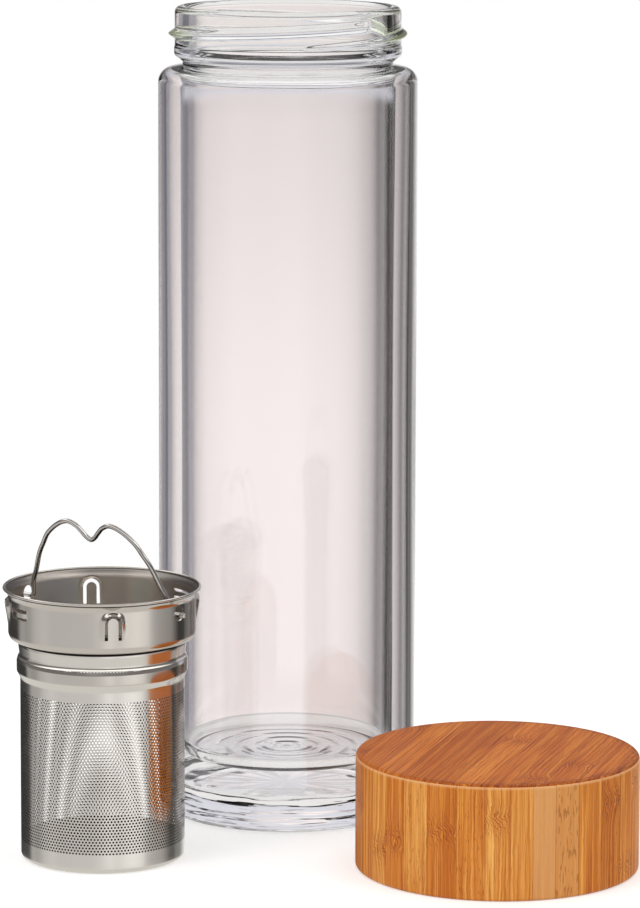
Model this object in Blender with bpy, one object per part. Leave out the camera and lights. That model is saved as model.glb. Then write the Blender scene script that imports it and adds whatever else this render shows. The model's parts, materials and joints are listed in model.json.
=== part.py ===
import math

import bmesh
import bpy
from mathutils import Matrix, Vector

MM = 0.001
DEG = math.pi / 180

# Every piece that meets another keeps this much clear of it
FIT_GAP = 0.3 * MM

# How far a cutter runs past both faces of the sheet it cuts
CUT_OVERRUN = 1.3 * MM

# Glass bottle: two walls with air between them, welded at the neck and at the foot
BOTTLE_HEIGHT = 204.0 * MM
BODY_RADIUS = 32.5 * MM
OUTER_WALL = 2.1 * MM
AIR_GAP = 3.8 * MM
VESSEL_WALL = 1.8 * MM
VESSEL_FLOOR = 2.2 * MM
VESSEL_CORNER = 4.0 * MM

# Mouth: a finish that stands out from the neck, with the thread bead on it
FINISH_HEIGHT = 13.0 * MM
FINISH_WALL = 3.4 * MM
FINISH_STEP = 1.5 * MM
LIP_ROUND = 1.55 * MM
BEAD_HEIGHT = 2.1 * MM
LEDGE_HEIGHT = 1.6 * MM
NECK_HEIGHT = 1.7 * MM
NECK_ROUND = 0.6 * MM
THROAT_HEIGHT = 2.4 * MM
THROAT_TAPER = 3.0 * MM

# Shoulder of the outer wall
SHOULDER_FALL = 0.8 * MM
SHOULDER_ROUND = 4.4 * MM

# Thick pressed glass foot
BASE_HEIGHT = 8.4 * MM
BASE_FLOOR = 4.6 * MM
BASE_FLOOR_RADIUS = 20.6 * MM
FOOT_ROUND = 1.8 * MM
FOOT_WIDTH = 7.5 * MM
PUNT_DEPTH = 0.8 * MM
PUNT_SLOPE = 3.0 * MM
FLOOR_CLEARANCE = 9.7 * MM

# Infuser: sheet steel, hung by its rim on the ledge inside the finish
INFUSER_HEIGHT = 66.9 * MM
SHEET = 0.4 * MM
NECK_CLEARANCE = 0.6 * MM
RIM_CLEARANCE = 0.65 * MM
RIM_BEAD = 0.45 * MM
FLARE_HEIGHT = 3.3 * MM
COLLAR_HEIGHT = 11.4 * MM
TAPER_HEIGHT = 5.0 * MM
WAIST_STEP = 2.15 * MM
BAND_STEP = 1.8 * MM
BAND_HEIGHT = 3.1 * MM
BAND_RAMP = 0.8 * MM
TUBE_STEP = 2.65 * MM
TUBE_RAMP = 1.7 * MM
TUBE_FOOT = 0.6 * MM
PAN_HEIGHT = 3.4 * MM
PAN_ROUND = 1.1 * MM

# Four spring tongues inside arched slots of the collar
TONGUE_COUNT = 4
TONGUE_WIDTH = 2.4 * MM
TONGUE_GRIP = 0.3 * MM
TONGUE_BEARING = 9.5 * DEG
SLOT_WIDTH = 1.0 * MM
SLOT_DROP = 2.5 * MM
SLOT_HEIGHT = 6.2 * MM

# Two strips of the collar lanced outwards between a pair of slits
LANCE_COUNT = 2
LANCE_WIDTH = 6.0 * MM
LANCE_STRIP = 1.3 * MM
LANCE_SLIT = 0.7 * MM
LANCE_BOW = 0.7 * MM
LANCE_BEARING = 30.5 * DEG

# Wire bail, hooked through two holes of the collar
WIRE = 1.2 * MM
HOLE_CLEARANCE = 0.3 * MM
PIVOT_DROP = 4.9 * MM
BAIL_HEIGHT = 21.5 * MM
BAIL_INSET = 1.8 * MM
BAIL_BEND = 1.0 * MM
BAIL_TAIL = 1.3 * MM
BAIL_BEARING = -33.0 * DEG
BAIL_LEAN = 14.8 * DEG

# Half of the bail's outline from the leg to the dip: across and up, as shares of its half span and height
BAIL_SHARES = [
    (0.970, 0.200),
    (0.904, 0.335),
    (0.810, 0.553),
    (0.722, 0.692),
    (0.630, 0.822),
    (0.470, 0.945),
    (0.315, 1.000),
    (0.200, 0.965),
    (0.125, 0.900),
    (0.060, 0.833),
    (0.000, 0.803),
]

# Screw lid: bamboo shell, plastic liner and silicone seal
LID_TOP = 5.8 * MM
LID_WALL = 2.5 * MM
LID_EDGE = 0.7 * MM
SKIRT_GAP = 0.3 * MM
LINER_WALL = 1.1 * MM
LINER_RECESS = 0.5 * MM
LINER_TOP = 1.5 * MM
THREAD_CLEARANCE = 0.2 * MM
SEAL_HEIGHT = 2.0 * MM
SEAL_OVERLAP = 0.4 * MM
SEAL_ROUND = 0.4 * MM
CARRIER_HEIGHT = 3.7 * MM

# Where the pieces stand: the free space to the bottle and the direction from its axis
INFUSER_STAND_OFF = 11.3 * MM
INFUSER_DIRECTION = -130.9 * DEG
LID_STAND_OFF = 12.5 * MM
LID_DIRECTION = -49.6 * DEG

# How finely round shapes are cut
GLASS_SIDES = 40
STEEL_SIDES = 40
ARC_STEPS = 3
SMALL_ROUND = 0.9 * MM
SMALL_STEPS = 2
SWEEP_STEPS = 6
SLOT_STEPS = 6
TAPER_STEPS = 4
FLARE_STEPS = 3
BEAD_STEPS = 5
BEAD_START = 225 * DEG
BEAD_SWEEP = 270 * DEG
BAIL_STEPS = 2
SHARP_ANGLE = 35 * DEG
MERGE_DISTANCE = 0.001 * MM

# Derived sizes of the glass
outer_bore = BODY_RADIUS - OUTER_WALL
vessel_radius = outer_bore - AIR_GAP
vessel_bore = vessel_radius - VESSEL_WALL
finish_radius = vessel_radius + FINISH_STEP
finish_bore = finish_radius - FINISH_WALL
neck_bore = vessel_radius - FINISH_WALL
finish_foot = BOTTLE_HEIGHT - FINISH_HEIGHT
shoulder_top = finish_foot - NECK_HEIGHT
vessel_foot = BASE_FLOOR + FLOOR_CLEARANCE

# Derived sizes of the infuser, which slips through the neck and rests on the ledge
collar_radius = neck_bore - NECK_CLEARANCE
rim_radius = finish_bore - RIM_CLEARANCE
tongue_bow = NECK_CLEARANCE + TONGUE_GRIP
waist_radius = collar_radius - WAIST_STEP
band_radius = collar_radius - BAND_STEP
tube_radius = collar_radius - TUBE_STEP
bead_centre = INFUSER_HEIGHT - RIM_BEAD
flare_foot = bead_centre - FLARE_HEIGHT
collar_foot = INFUSER_HEIGHT - COLLAR_HEIGHT
waist_height = collar_foot - TAPER_HEIGHT
tube_top = waist_height - FIT_GAP
pivot_height = INFUSER_HEIGHT - PIVOT_DROP
bail_half_span = collar_radius - SHEET - BAIL_INSET
hole_radius = WIRE / 2 + HOLE_CLEARANCE
slot_top = INFUSER_HEIGHT - SLOT_DROP
slot_foot = slot_top - SLOT_HEIGHT
slot_reach = TONGUE_WIDTH / 2 + SLOT_WIDTH
tongue_tip = slot_top - SLOT_WIDTH

# Derived sizes of the lid, which screws over the finish and stops just above the shoulder
liner_bore = finish_radius + BEAD_HEIGHT + THREAD_CLEARANCE
liner_radius = liner_bore + LINER_WALL
lid_bore = liner_radius + FIT_GAP
lid_radius = lid_bore + LID_WALL
seal_face = BOTTLE_HEIGHT - shoulder_top - SKIRT_GAP
seal_radius = liner_bore - FIT_GAP
seal_bore = finish_bore - SEAL_OVERLAP
carrier_face = seal_face + SEAL_HEIGHT + FIT_GAP
liner_ceiling = carrier_face + CARRIER_HEIGHT
liner_height = liner_ceiling + LINER_TOP
lid_ceiling = liner_height + FIT_GAP
lid_height = lid_ceiling + LID_TOP


def remove_everything():
    for old in list(bpy.data.objects):
        bpy.data.objects.remove(old, do_unlink=True)


def make_material(name, colour, roughness, metallic=0.0, transmission=0.0):
    material = bpy.data.materials.new(name)
    material.use_nodes = True
    shader = material.node_tree.nodes["Principled BSDF"]
    shader.inputs["Base Color"].default_value = (*colour, 1.0)
    shader.inputs["Roughness"].default_value = roughness
    shader.inputs["Metallic"].default_value = metallic
    shader.inputs["Transmission Weight"].default_value = transmission
    return material


def add_empty(name, location, parent=None, rotation=(0, 0, 0)):
    empty = bpy.data.objects.new(name, None)
    empty.location = location
    empty.rotation_euler = rotation
    empty.parent = parent
    bpy.context.scene.collection.objects.link(empty)
    return empty


def add_mesh_object(name, bm, material, parent):
    mesh = bpy.data.meshes.new(name)
    bm.to_mesh(mesh)
    bm.free()
    mesh.shade_smooth()
    mesh.set_sharp_from_angle(angle=SHARP_ANGLE)
    mesh.materials.append(material)
    piece = bpy.data.objects.new(name, mesh)
    piece.parent = parent
    bpy.context.scene.collection.objects.link(piece)
    return piece


def rounded(corners, closed=False):
    # Turns corners (radius, height, fillet) into an outline with an arc at each fillet
    outline = []
    count = len(corners)
    for i, (r, z, fillet) in enumerate(corners):
        here = Vector((r, z))
        if fillet == 0 or (not closed and i in (0, count - 1)):
            outline.append((r, z))
            continue
        before = Vector(corners[i - 1][:2]) - here
        after = Vector(corners[(i + 1) % count][:2]) - here
        half_turn = before.angle(after) / 2
        reach = min(fillet / math.tan(half_turn), before.length / 2, after.length / 2)
        radius = reach * math.tan(half_turn)
        bisector = (before.normalized() + after.normalized()).normalized()
        centre = here + bisector * (radius / math.sin(half_turn))
        start = here + before.normalized() * reach - centre
        sweep = start.angle_signed(here + after.normalized() * reach - centre)
        steps = ARC_STEPS if radius > SMALL_ROUND else SMALL_STEPS
        for step in range(steps + 1):
            arm = Matrix.Rotation(-sweep * step / steps, 2) @ start
            outline.append(tuple(centre + arm))
    return outline


def lathe(name, outline, material, parent, sides, closed=False):
    # Spins an outline round the vertical axis. An open one starts and ends on the axis.
    bm = bmesh.new()
    verts = [bm.verts.new((r, 0, z)) for r, z in outline]
    followers = verts[1:] + verts[:1] if closed else verts[1:]
    edges = [bm.edges.new(pair) for pair in zip(verts, followers)]
    bmesh.ops.spin(
        bm, geom=verts + edges, cent=(0, 0, 0), axis=(0, 0, 1), angle=math.tau, steps=sides, use_merge=True
    )
    bmesh.ops.remove_doubles(bm, verts=bm.verts, dist=MERGE_DISTANCE)
    bmesh.ops.recalc_face_normals(bm, faces=bm.faces)
    return add_mesh_object(name, bm, material, parent)


def cut(piece, cutters):
    for cutter in cutters:
        cutter.hide_render = True
        cutter.display_type = "WIRE"
        boolean = piece.modifiers.new(cutter.name, "BOOLEAN")
        boolean.solver = "EXACT"
        boolean.object = cutter


# Bottle


def make_inner_vessel(material, parent):
    inside_floor = vessel_foot + VESSEL_FLOOR
    throat_top = finish_foot - LEDGE_HEIGHT / 2
    throat_foot = throat_top - THROAT_HEIGHT
    corners = [
        (0, inside_floor, 0),
        (vessel_bore, inside_floor, VESSEL_CORNER - VESSEL_WALL / 2),
        (vessel_bore, throat_foot - THROAT_TAPER, THROAT_TAPER / 2),
        (neck_bore, throat_foot, NECK_ROUND),
        (neck_bore, throat_top, NECK_ROUND),
        (finish_bore, throat_top + LEDGE_HEIGHT, NECK_ROUND),
        (finish_bore, BOTTLE_HEIGHT, LIP_ROUND),
        (finish_radius, BOTTLE_HEIGHT, LIP_ROUND),
        (finish_radius, finish_foot, NECK_ROUND),
        (vessel_radius, finish_foot - NECK_ROUND, NECK_ROUND),
        (vessel_radius, vessel_foot, VESSEL_CORNER),
        (0, vessel_foot, 0),
    ]
    return lathe("inner_vessel", rounded(corners), material, parent, GLASS_SIDES)


def make_outer_wall(material, parent):
    lip = vessel_radius + FIT_GAP
    foot = BASE_HEIGHT + FIT_GAP
    corners = [
        (BODY_RADIUS, foot, 0),
        (BODY_RADIUS, shoulder_top - SHOULDER_FALL, SHOULDER_ROUND),
        (lip, shoulder_top, 0),
        (lip, shoulder_top - OUTER_WALL, 0),
        (outer_bore, shoulder_top - SHOULDER_FALL - OUTER_WALL, SHOULDER_ROUND - OUTER_WALL),
        (outer_bore, foot, 0),
    ]
    return lathe("outer_wall", rounded(corners, closed=True), material, parent, GLASS_SIDES, closed=True)


def make_glass_base(material, parent):
    # The floor sweeps up to the wall along a quarter of an ellipse
    sweep = []
    for i in range(SWEEP_STEPS + 1):
        turn = math.pi / 2 * i / SWEEP_STEPS
        across = BASE_FLOOR_RADIUS + (outer_bore - BASE_FLOOR_RADIUS) * math.sin(turn)
        sweep.append((across, BASE_FLOOR + (BASE_HEIGHT - BASE_FLOOR) * (1 - math.cos(turn))))
    foot_inside = BODY_RADIUS - FOOT_WIDTH
    underside = [
        (BODY_RADIUS, BASE_HEIGHT, 0),
        (BODY_RADIUS, 0, FOOT_ROUND),
        (foot_inside, 0, PUNT_DEPTH),
        (foot_inside - PUNT_SLOPE, PUNT_DEPTH, PUNT_DEPTH),
        (0, PUNT_DEPTH, 0),
    ]
    outline = [(0, BASE_FLOOR)] + sweep + rounded(underside)
    return lathe("glass_base", outline, material, parent, GLASS_SIDES)


# Infuser


def collar_bulge(angle, height):
    # How far the collar's sheet is pressed outwards at a place: the tongues bow, the strips stand proud
    proud = 0.0
    for i in range(TONGUE_COUNT):
        away = angle - TONGUE_BEARING - i * math.tau / TONGUE_COUNT
        away = abs(math.remainder(away, math.tau)) * collar_radius
        if away < slot_reach - SLOT_WIDTH / 4 and slot_foot < height < tongue_tip:
            proud = tongue_bow * math.sin(math.pi * (height - slot_foot) / (tongue_tip - slot_foot))
    for i in range(LANCE_COUNT):
        away = angle - LANCE_BEARING - i * math.tau / LANCE_COUNT
        away = abs(math.remainder(away, math.tau)) * collar_radius
        if away < LANCE_WIDTH / 2 and abs(height - pivot_height) < LANCE_STRIP / 2 + LANCE_SLIT / 4:
            proud = LANCE_BOW * math.cos(math.pi / 2 * away / (LANCE_WIDTH / 2))
    return proud


def collar_angles():
    # Even columns, with the ones near a tongue or a strip moved to its edges
    special = []
    for i in range(TONGUE_COUNT):
        for across in (-slot_reach, -TONGUE_WIDTH / 2, 0, TONGUE_WIDTH / 2, slot_reach):
            special.append(TONGUE_BEARING + i * math.tau / TONGUE_COUNT + across / collar_radius)
    for i in range(LANCE_COUNT):
        for across in (-LANCE_WIDTH / 2, -LANCE_WIDTH / 4, 0, LANCE_WIDTH / 4, LANCE_WIDTH / 2):
            special.append(LANCE_BEARING + i * math.tau / LANCE_COUNT + across / collar_radius)
    spacing = math.tau / STEEL_SIDES
    even = [
        i * spacing
        for i in range(STEEL_SIDES)
        if all(abs(math.remainder(i * spacing - angle, math.tau)) > spacing / 3 for angle in special)
    ]
    return sorted(angle % math.tau for angle in even + special)


def collar_outline():
    # Down the outside from the rolled bead, and back up the inside
    flare = rim_radius - 2 * RIM_BEAD - collar_radius + SHEET
    outside = []
    for i in range(FLARE_STEPS):
        share = 1 - i / FLARE_STEPS
        outside.append((collar_radius + flare * share**2, flare_foot + (FLARE_HEIGHT - RIM_BEAD) * share))
    strip_top = pivot_height + LANCE_STRIP / 2
    strip_foot = pivot_height - LANCE_STRIP / 2
    edge = LANCE_SLIT / 8
    heights = [flare_foot, strip_top + edge, strip_foot - edge, strip_foot - LANCE_SLIT, slot_foot]
    outside += [(collar_radius, z) for z in heights]
    for i in range(TAPER_STEPS + 1):
        swell = (1 + math.cos(math.pi * i / TAPER_STEPS)) / 2
        outside.append((waist_radius + WAIST_STEP * swell, collar_foot - TAPER_HEIGHT * i / TAPER_STEPS))
    inside = [(r - SHEET, z) for r, z in reversed(outside)]
    bead = []
    for i in range(1, BEAD_STEPS):
        turn = BEAD_START - BEAD_SWEEP * i / BEAD_STEPS
        bead.append((rim_radius - RIM_BEAD + RIM_BEAD * math.cos(turn), bead_centre + RIM_BEAD * math.sin(turn)))
    return bead + outside + inside


def make_collar_shell(material, parent):
    outline = collar_outline()
    bm = bmesh.new()
    columns = []
    for angle in collar_angles():
        column = []
        for r, z in outline:
            reach = r + collar_bulge(angle, z)
            column.append(bm.verts.new((reach * math.cos(angle), reach * math.sin(angle), z)))
        columns.append(column)
    for left, right in zip(columns, columns[1:] + columns[:1]):
        for i in range(len(outline)):
            j = (i + 1) % len(outline)
            bm.faces.new((left[i], right[i], right[j], left[j]))
    bmesh.ops.recalc_face_normals(bm, faces=bm.faces)
    return add_mesh_object("infuser_collar", bm, material, parent)


def radial_cutter(name, outline, bearing, parent):
    # A prism with an outline of (across, height) that runs through the collar's wall along a bearing
    start = collar_radius - SHEET - CUT_OVERRUN
    depth = SHEET + tongue_bow + 2 * CUT_OVERRUN
    bm = bmesh.new()
    face = bm.faces.new([bm.verts.new((start, across, z)) for across, z in outline])
    moved = bmesh.ops.extrude_face_region(bm, geom=[face])["geom"]
    verts = [item for item in moved if isinstance(item, bmesh.types.BMVert)]
    bmesh.ops.translate(bm, vec=(depth, 0, 0), verts=verts)
    bmesh.ops.recalc_face_normals(bm, faces=bm.faces)
    bmesh.ops.rotate(bm, cent=(0, 0, 0), matrix=Matrix.Rotation(bearing, 3, "Z"), verts=bm.verts)
    mesh = bpy.data.meshes.new(name)
    bm.to_mesh(mesh)
    bm.free()
    cutter = bpy.data.objects.new(name, mesh)
    cutter.parent = parent
    bpy.context.scene.collection.objects.link(cutter)
    return cutter


def half_circle(radius, centre_height, downwards=False):
    # Points of a half circle from its right end over the top to its left end, or the other way
    points = []
    for i in range(SLOT_STEPS + 1):
        turn = math.pi * i / SLOT_STEPS
        points.append((radius * math.cos(turn), centre_height + radius * math.sin(turn)))
    return points[::-1] if downwards else points


def arched_slot_outline():
    # The slot goes up on one side of the tongue, over its round tip and down the other side
    inner = TONGUE_WIDTH / 2
    spring = slot_top - slot_reach
    legs = [(-slot_reach, slot_foot), (-inner, slot_foot)]
    return (
        half_circle(slot_reach, spring)
        + legs
        + half_circle(inner, spring, downwards=True)
        + [(-across, z) for across, z in reversed(legs)]
    )


def slit_outline(centre_height):
    half = LANCE_WIDTH / 2
    low = centre_height - LANCE_SLIT / 2
    high = centre_height + LANCE_SLIT / 2
    return [(-half, low), (half, low), (half, high), (-half, high)]


def hole_outline():
    upper = half_circle(hole_radius, pivot_height)
    return upper + [(-across, 2 * pivot_height - z) for across, z in upper[1:-1]]


def make_infuser_collar(material, parent):
    collar = make_collar_shell(material, parent)
    cutters = []
    for i in range(TONGUE_COUNT):
        bearing = TONGUE_BEARING + i * math.tau / TONGUE_COUNT
        cutters.append(radial_cutter(f"tongue_slot_{i + 1}", arched_slot_outline(), bearing, parent))
    slit_offset = (LANCE_STRIP + LANCE_SLIT) / 2
    for i in range(LANCE_COUNT):
        bearing = LANCE_BEARING + i * math.tau / LANCE_COUNT
        for side, name in ((1, "upper"), (-1, "lower")):
            outline = slit_outline(pivot_height + side * slit_offset)
            cutters.append(radial_cutter(f"{name}_slit_{i + 1}", outline, bearing, parent))
    for i in range(2):
        bearing = BAIL_BEARING + i * math.pi
        cutters.append(radial_cutter(f"wire_hole_{i + 1}", hole_outline(), bearing, parent))
    cut(collar, cutters)
    return collar


def make_infuser_tube(material, parent):
    band_top = tube_top - BAND_RAMP
    band_foot = band_top - BAND_HEIGHT
    outside = [
        (waist_radius, tube_top, 0),
        (band_radius, band_top, BAND_RAMP),
        (band_radius, band_foot, BAND_RAMP),
        (tube_radius, band_foot - TUBE_RAMP, BAND_RAMP),
        (tube_radius, TUBE_FOOT, 0),
    ]
    inside = [(r - SHEET, z, fillet) for r, z, fillet in reversed(outside)]
    outline = rounded(outside) + rounded(inside)
    return lathe("infuser_tube", outline, material, parent, STEEL_SIDES, closed=True)


def make_infuser_floor(material, parent):
    pan_radius = tube_radius - SHEET - FIT_GAP
    corners = [
        (0, SHEET, 0),
        (pan_radius - SHEET, SHEET, PAN_ROUND - SHEET),
        (pan_radius - SHEET, PAN_HEIGHT, 0),
        (pan_radius, PAN_HEIGHT, 0),
        (pan_radius, 0, PAN_ROUND),
        (0, 0, 0),
    ]
    return lathe("infuser_floor", rounded(corners), material, parent, STEEL_SIDES)


def bail_route():
    # One half from the tail outside the collar to the dip, smoothed and then mirrored
    half = [(collar_radius + BAIL_TAIL, 0)]
    for i in range(ARC_STEPS + 1):
        turn = math.pi / 2 * i / ARC_STEPS
        across = bail_half_span + BAIL_BEND * (1 - math.sin(turn))
        half.append((across, BAIL_BEND * (1 - math.cos(turn))))
    guides = [half[-1]] + [(x * bail_half_span, z * BAIL_HEIGHT) for x, z in BAIL_SHARES]
    mirrored = (-guides[-2][0], guides[-2][1])
    padded = [Vector(p) for p in [half[-2]] + guides + [mirrored]]
    for before, start, end, after in zip(padded, padded[1:], padded[2:], padded[3:]):
        for i in range(1, BAIL_STEPS + 1):
            t = i / BAIL_STEPS
            bend = (2 * before - 5 * start + 4 * end - after) * t**2
            twist = (3 * start - before - 3 * end + after) * t**3
            half.append(tuple((2 * start + (end - before) * t + bend + twist) / 2))
    return [(-x, z) for x, z in half] + half[-2::-1]


def make_infuser_handle(material, parent):
    # Built as a bevelled curve in the plane of the bail, with its origin on the pivot axis
    curve = bpy.data.curves.new("infuser_handle", "CURVE")
    curve.dimensions = "3D"
    curve.bevel_depth = WIRE / 2
    curve.bevel_resolution = 2
    curve.use_fill_caps = True
    route = bail_route()
    spline = curve.splines.new("POLY")
    spline.points.add(len(route) - 1)
    for point, (across, up) in zip(spline.points, route):
        point.co = (across, 0, up, 1)
    curve.materials.append(material)
    handle = bpy.data.objects.new("infuser_handle", curve)
    handle.parent = parent
    bpy.context.scene.collection.objects.link(handle)
    return handle


# Lid, standing on its open side


def make_bamboo_lid(material, parent):
    corners = [
        (0, lid_height, 0),
        (lid_radius, lid_height, LID_EDGE),
        (lid_radius, 0, LID_EDGE / 2),
        (lid_bore, 0, LID_EDGE / 2),
        (lid_bore, lid_ceiling, 0),
        (0, lid_ceiling, 0),
    ]
    return lathe("bamboo_lid", rounded(corners), material, parent, GLASS_SIDES)


def make_lid_insert(material, parent):
    corners = [
        (0, liner_height, 0),
        (liner_radius, liner_height, LINER_WALL / 2),
        (liner_radius, LINER_RECESS, 0),
        (liner_bore, LINER_RECESS, 0),
        (liner_bore, carrier_face, 0),
        (seal_bore, carrier_face, 0),
        (seal_bore, liner_ceiling, LINER_WALL / 2),
        (0, liner_ceiling, 0),
    ]
    return lathe("lid_insert", rounded(corners), material, parent, GLASS_SIDES)


def make_lid_seal(material, parent):
    corners = [
        (seal_radius, seal_face, SEAL_ROUND),
        (seal_radius, seal_face + SEAL_HEIGHT, SEAL_ROUND),
        (seal_bore, seal_face + SEAL_HEIGHT, SEAL_ROUND),
        (seal_bore, seal_face, SEAL_ROUND),
    ]
    return lathe("lid_seal", rounded(corners, closed=True), material, parent, GLASS_SIDES, closed=True)


def standing_places():
    # The origin is the middle of the rectangle that the three pieces cover on the table
    infuser_distance = BODY_RADIUS + INFUSER_STAND_OFF + rim_radius
    lid_distance = BODY_RADIUS + LID_STAND_OFF + lid_radius
    places = {
        "bottle": (Vector((0, 0, 0)), BODY_RADIUS),
        "infuser": (
            Vector((math.cos(INFUSER_DIRECTION), math.sin(INFUSER_DIRECTION), 0)) * infuser_distance,
            rim_radius,
        ),
        "lid": (Vector((math.cos(LID_DIRECTION), math.sin(LID_DIRECTION), 0)) * lid_distance, lid_radius),
    }
    middle = Vector((0, 0, 0))
    for axis in (0, 1):
        low = min(place[axis] - radius for place, radius in places.values())
        high = max(place[axis] + radius for place, radius in places.values())
        middle[axis] = (low + high) / 2
    return {name: place - middle for name, (place, radius) in places.items()}


def main():
    remove_everything()
    clear_glass = make_material("clear_glass", (0.86, 0.88, 0.86), 0.02, transmission=1.0)
    steel = make_material("stainless_steel", (0.62, 0.60, 0.58), 0.18, metallic=1.0)
    mesh_steel = make_material("perforated_steel", (0.58, 0.56, 0.54), 0.25, metallic=1.0)
    wire_steel = make_material("wire_steel", (0.66, 0.65, 0.64), 0.15, metallic=1.0)
    bamboo = make_material("bamboo", (0.62, 0.33, 0.11), 0.5)
    liner_plastic = make_material("liner_plastic", (0.85, 0.84, 0.80), 0.35)
    silicone = make_material("silicone", (0.80, 0.79, 0.76), 0.5)

    places = standing_places()
    bottle = add_empty("bottle", places["bottle"])
    infuser = add_empty("infuser", places["infuser"])
    lid = add_empty("lid", places["lid"])
    pivot_turn = (BAIL_LEAN, 0, BAIL_BEARING)
    pivot = add_empty("bail_pivot", (0, 0, pivot_height), infuser, pivot_turn)

    make_inner_vessel(clear_glass, bottle)
    make_outer_wall(clear_glass, bottle)
    make_glass_base(clear_glass, bottle)
    make_infuser_collar(steel, infuser)
    make_infuser_tube(mesh_steel, infuser)
    make_infuser_floor(steel, infuser)
    make_infuser_handle(wire_steel, pivot)
    make_bamboo_lid(bamboo, lid)
    make_lid_insert(liner_plastic, lid)
    make_lid_seal(silicone, lid)


main()
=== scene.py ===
import json
import math

import bmesh
import bpy
import numpy as np
from mathutils import Matrix, Vector


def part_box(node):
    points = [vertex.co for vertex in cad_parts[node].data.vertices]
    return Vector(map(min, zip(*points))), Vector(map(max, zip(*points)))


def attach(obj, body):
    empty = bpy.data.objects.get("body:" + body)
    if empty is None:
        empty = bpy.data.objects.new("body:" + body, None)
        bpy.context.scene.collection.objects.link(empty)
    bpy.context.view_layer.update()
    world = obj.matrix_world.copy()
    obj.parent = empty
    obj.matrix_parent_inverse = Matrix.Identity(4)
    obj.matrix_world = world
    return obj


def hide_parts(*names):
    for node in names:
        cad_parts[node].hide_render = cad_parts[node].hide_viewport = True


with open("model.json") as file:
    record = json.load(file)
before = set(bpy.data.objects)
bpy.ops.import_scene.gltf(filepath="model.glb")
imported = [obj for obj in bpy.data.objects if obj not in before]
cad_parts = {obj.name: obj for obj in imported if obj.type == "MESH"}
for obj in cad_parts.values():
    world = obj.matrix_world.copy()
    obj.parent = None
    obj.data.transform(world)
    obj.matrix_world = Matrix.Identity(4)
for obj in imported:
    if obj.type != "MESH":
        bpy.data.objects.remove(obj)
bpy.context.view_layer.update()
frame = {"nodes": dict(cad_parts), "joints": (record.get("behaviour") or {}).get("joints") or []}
mm = 0.001
print("frame loaded with", len(frame["nodes"]), "pieces")


class Signal:
    # A socket of a node tree. Sums and products of signals add Math nodes.
    def __init__(self, tree, socket=None):
        self.tree, self.socket = tree, socket

    def node(self, kind, settings=None, sockets=None, out=0):
        # Any node: its settings first, then the values or links of its sockets
        made = self.tree.nodes.new(kind)
        for name, value in (settings or {}).items():
            if name == "stops":
                elements = made.color_ramp.elements
                while len(elements) < len(value):
                    elements.new(1.0)
                for element, (place, colour) in zip(elements, value):
                    element.position, element.color = place, (*colour, 1.0)
            elif name == "ramp":
                made.color_ramp.interpolation = value
            else:
                setattr(made, name, value)
        for name, value in (sockets or {}).items():
            if isinstance(value, Signal):
                self.tree.links.new(value.socket, made.inputs[name])
            else:
                made.inputs[name].default_value = value
        if out == "all":
            return [Signal(self.tree, socket) for socket in made.outputs]
        return Signal(self.tree, made.outputs[out])

    def math(self, operation, *values):
        return self.node("ShaderNodeMath", {"operation": operation}, dict(enumerate(values)))

    def __add__(self, other):
        return self.math("ADD", self, other)

    def __sub__(self, other):
        return self.math("SUBTRACT", self, other)

    def __rsub__(self, other):
        return self.math("SUBTRACT", other, self)

    def __mul__(self, other):
        return self.math("MULTIPLY", self, other)

    def __truediv__(self, other):
        return self.math("DIVIDE", self, other)

    def __gt__(self, other):
        return self.math("GREATER_THAN", self, other)

    __radd__, __rmul__ = __add__, __mul__

    def rise(self, start, end):
        # 0 below start, 1 above end, smooth between them; start may be the larger one
        settings = {"interpolation_type": "SMOOTHSTEP"}
        if start < end:
            return self.node("ShaderNodeMapRange", settings, {0: self, 1: start, 2: end})
        return 1 - self.node("ShaderNodeMapRange", settings, {0: self, 1: end, 2: start})

    def mixed(self, first, second, kind="MIX"):
        # A colour between two others, by this signal
        settings = {"data_type": "RGBA", "blend_type": kind}
        return self.node("ShaderNodeMix", settings, {0: self, 6: first, 7: second}, out=2)

    def times(self, colour):
        # This colour multiplied by another
        settings = {"data_type": "RGBA", "blend_type": "MULTIPLY"}
        return self.node("ShaderNodeMix", settings, {0: 1.0, 6: self, 7: colour}, out=2)

    def noise(self, point, scale=1.0, detail=2.0):
        return self.node("ShaderNodeTexNoise", None, {"Vector": point, "Scale": scale, "Detail": detail})

    def xyz(self):
        return self.node("ShaderNodeSeparateXYZ", None, {0: self}, out="all")

    def joined(self, x, y, z):
        return self.node("ShaderNodeCombineXYZ", None, {0: x, 1: y, 2: z})


def rgb(red, green, blue):
    return (red, green, blue, 1.0)


def newMaterial(name, **constants):
    material = bpy.data.materials.new(name)
    material.use_nodes = True
    shader = material.node_tree.nodes["Principled BSDF"]
    for socket, value in constants.items():
        shader.inputs[socket.replace("_", " ")].default_value = value
    return material, Signal(material.node_tree), shader


def feed(shader, socket, signal):
    signal.tree.links.new(signal.socket, shader.inputs[socket])


def feedBump(shader, height, distance):
    feed(shader, "Normal", height.node("ShaderNodeBump", None, {"Height": height, "Distance": distance}))


def pointFrom(tree, centre):
    # Object coordinates, counted from a piece's axis
    place = tree.node("ShaderNodeTexCoord", out="Object")
    return tree.node("ShaderNodeMapping", None, {0: place, 1: -centre})


# Places and sizes that come from the frame


def axisOf(node):
    low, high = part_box(node)
    return Vector(((low.x + high.x) / 2, (low.y + high.y) / 2, 0))


def radiusOf(node):
    low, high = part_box(node)
    return (high.x - low.x) / 2


def heightsOf(node):
    low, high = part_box(node)
    return low.z, high.z


bottleAxis = axisOf("outer_wall")
infuserAxis = axisOf("infuser_tube")
lidAxis = axisOf("bamboo_lid")


# Mesh tools that all pieces share


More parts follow.
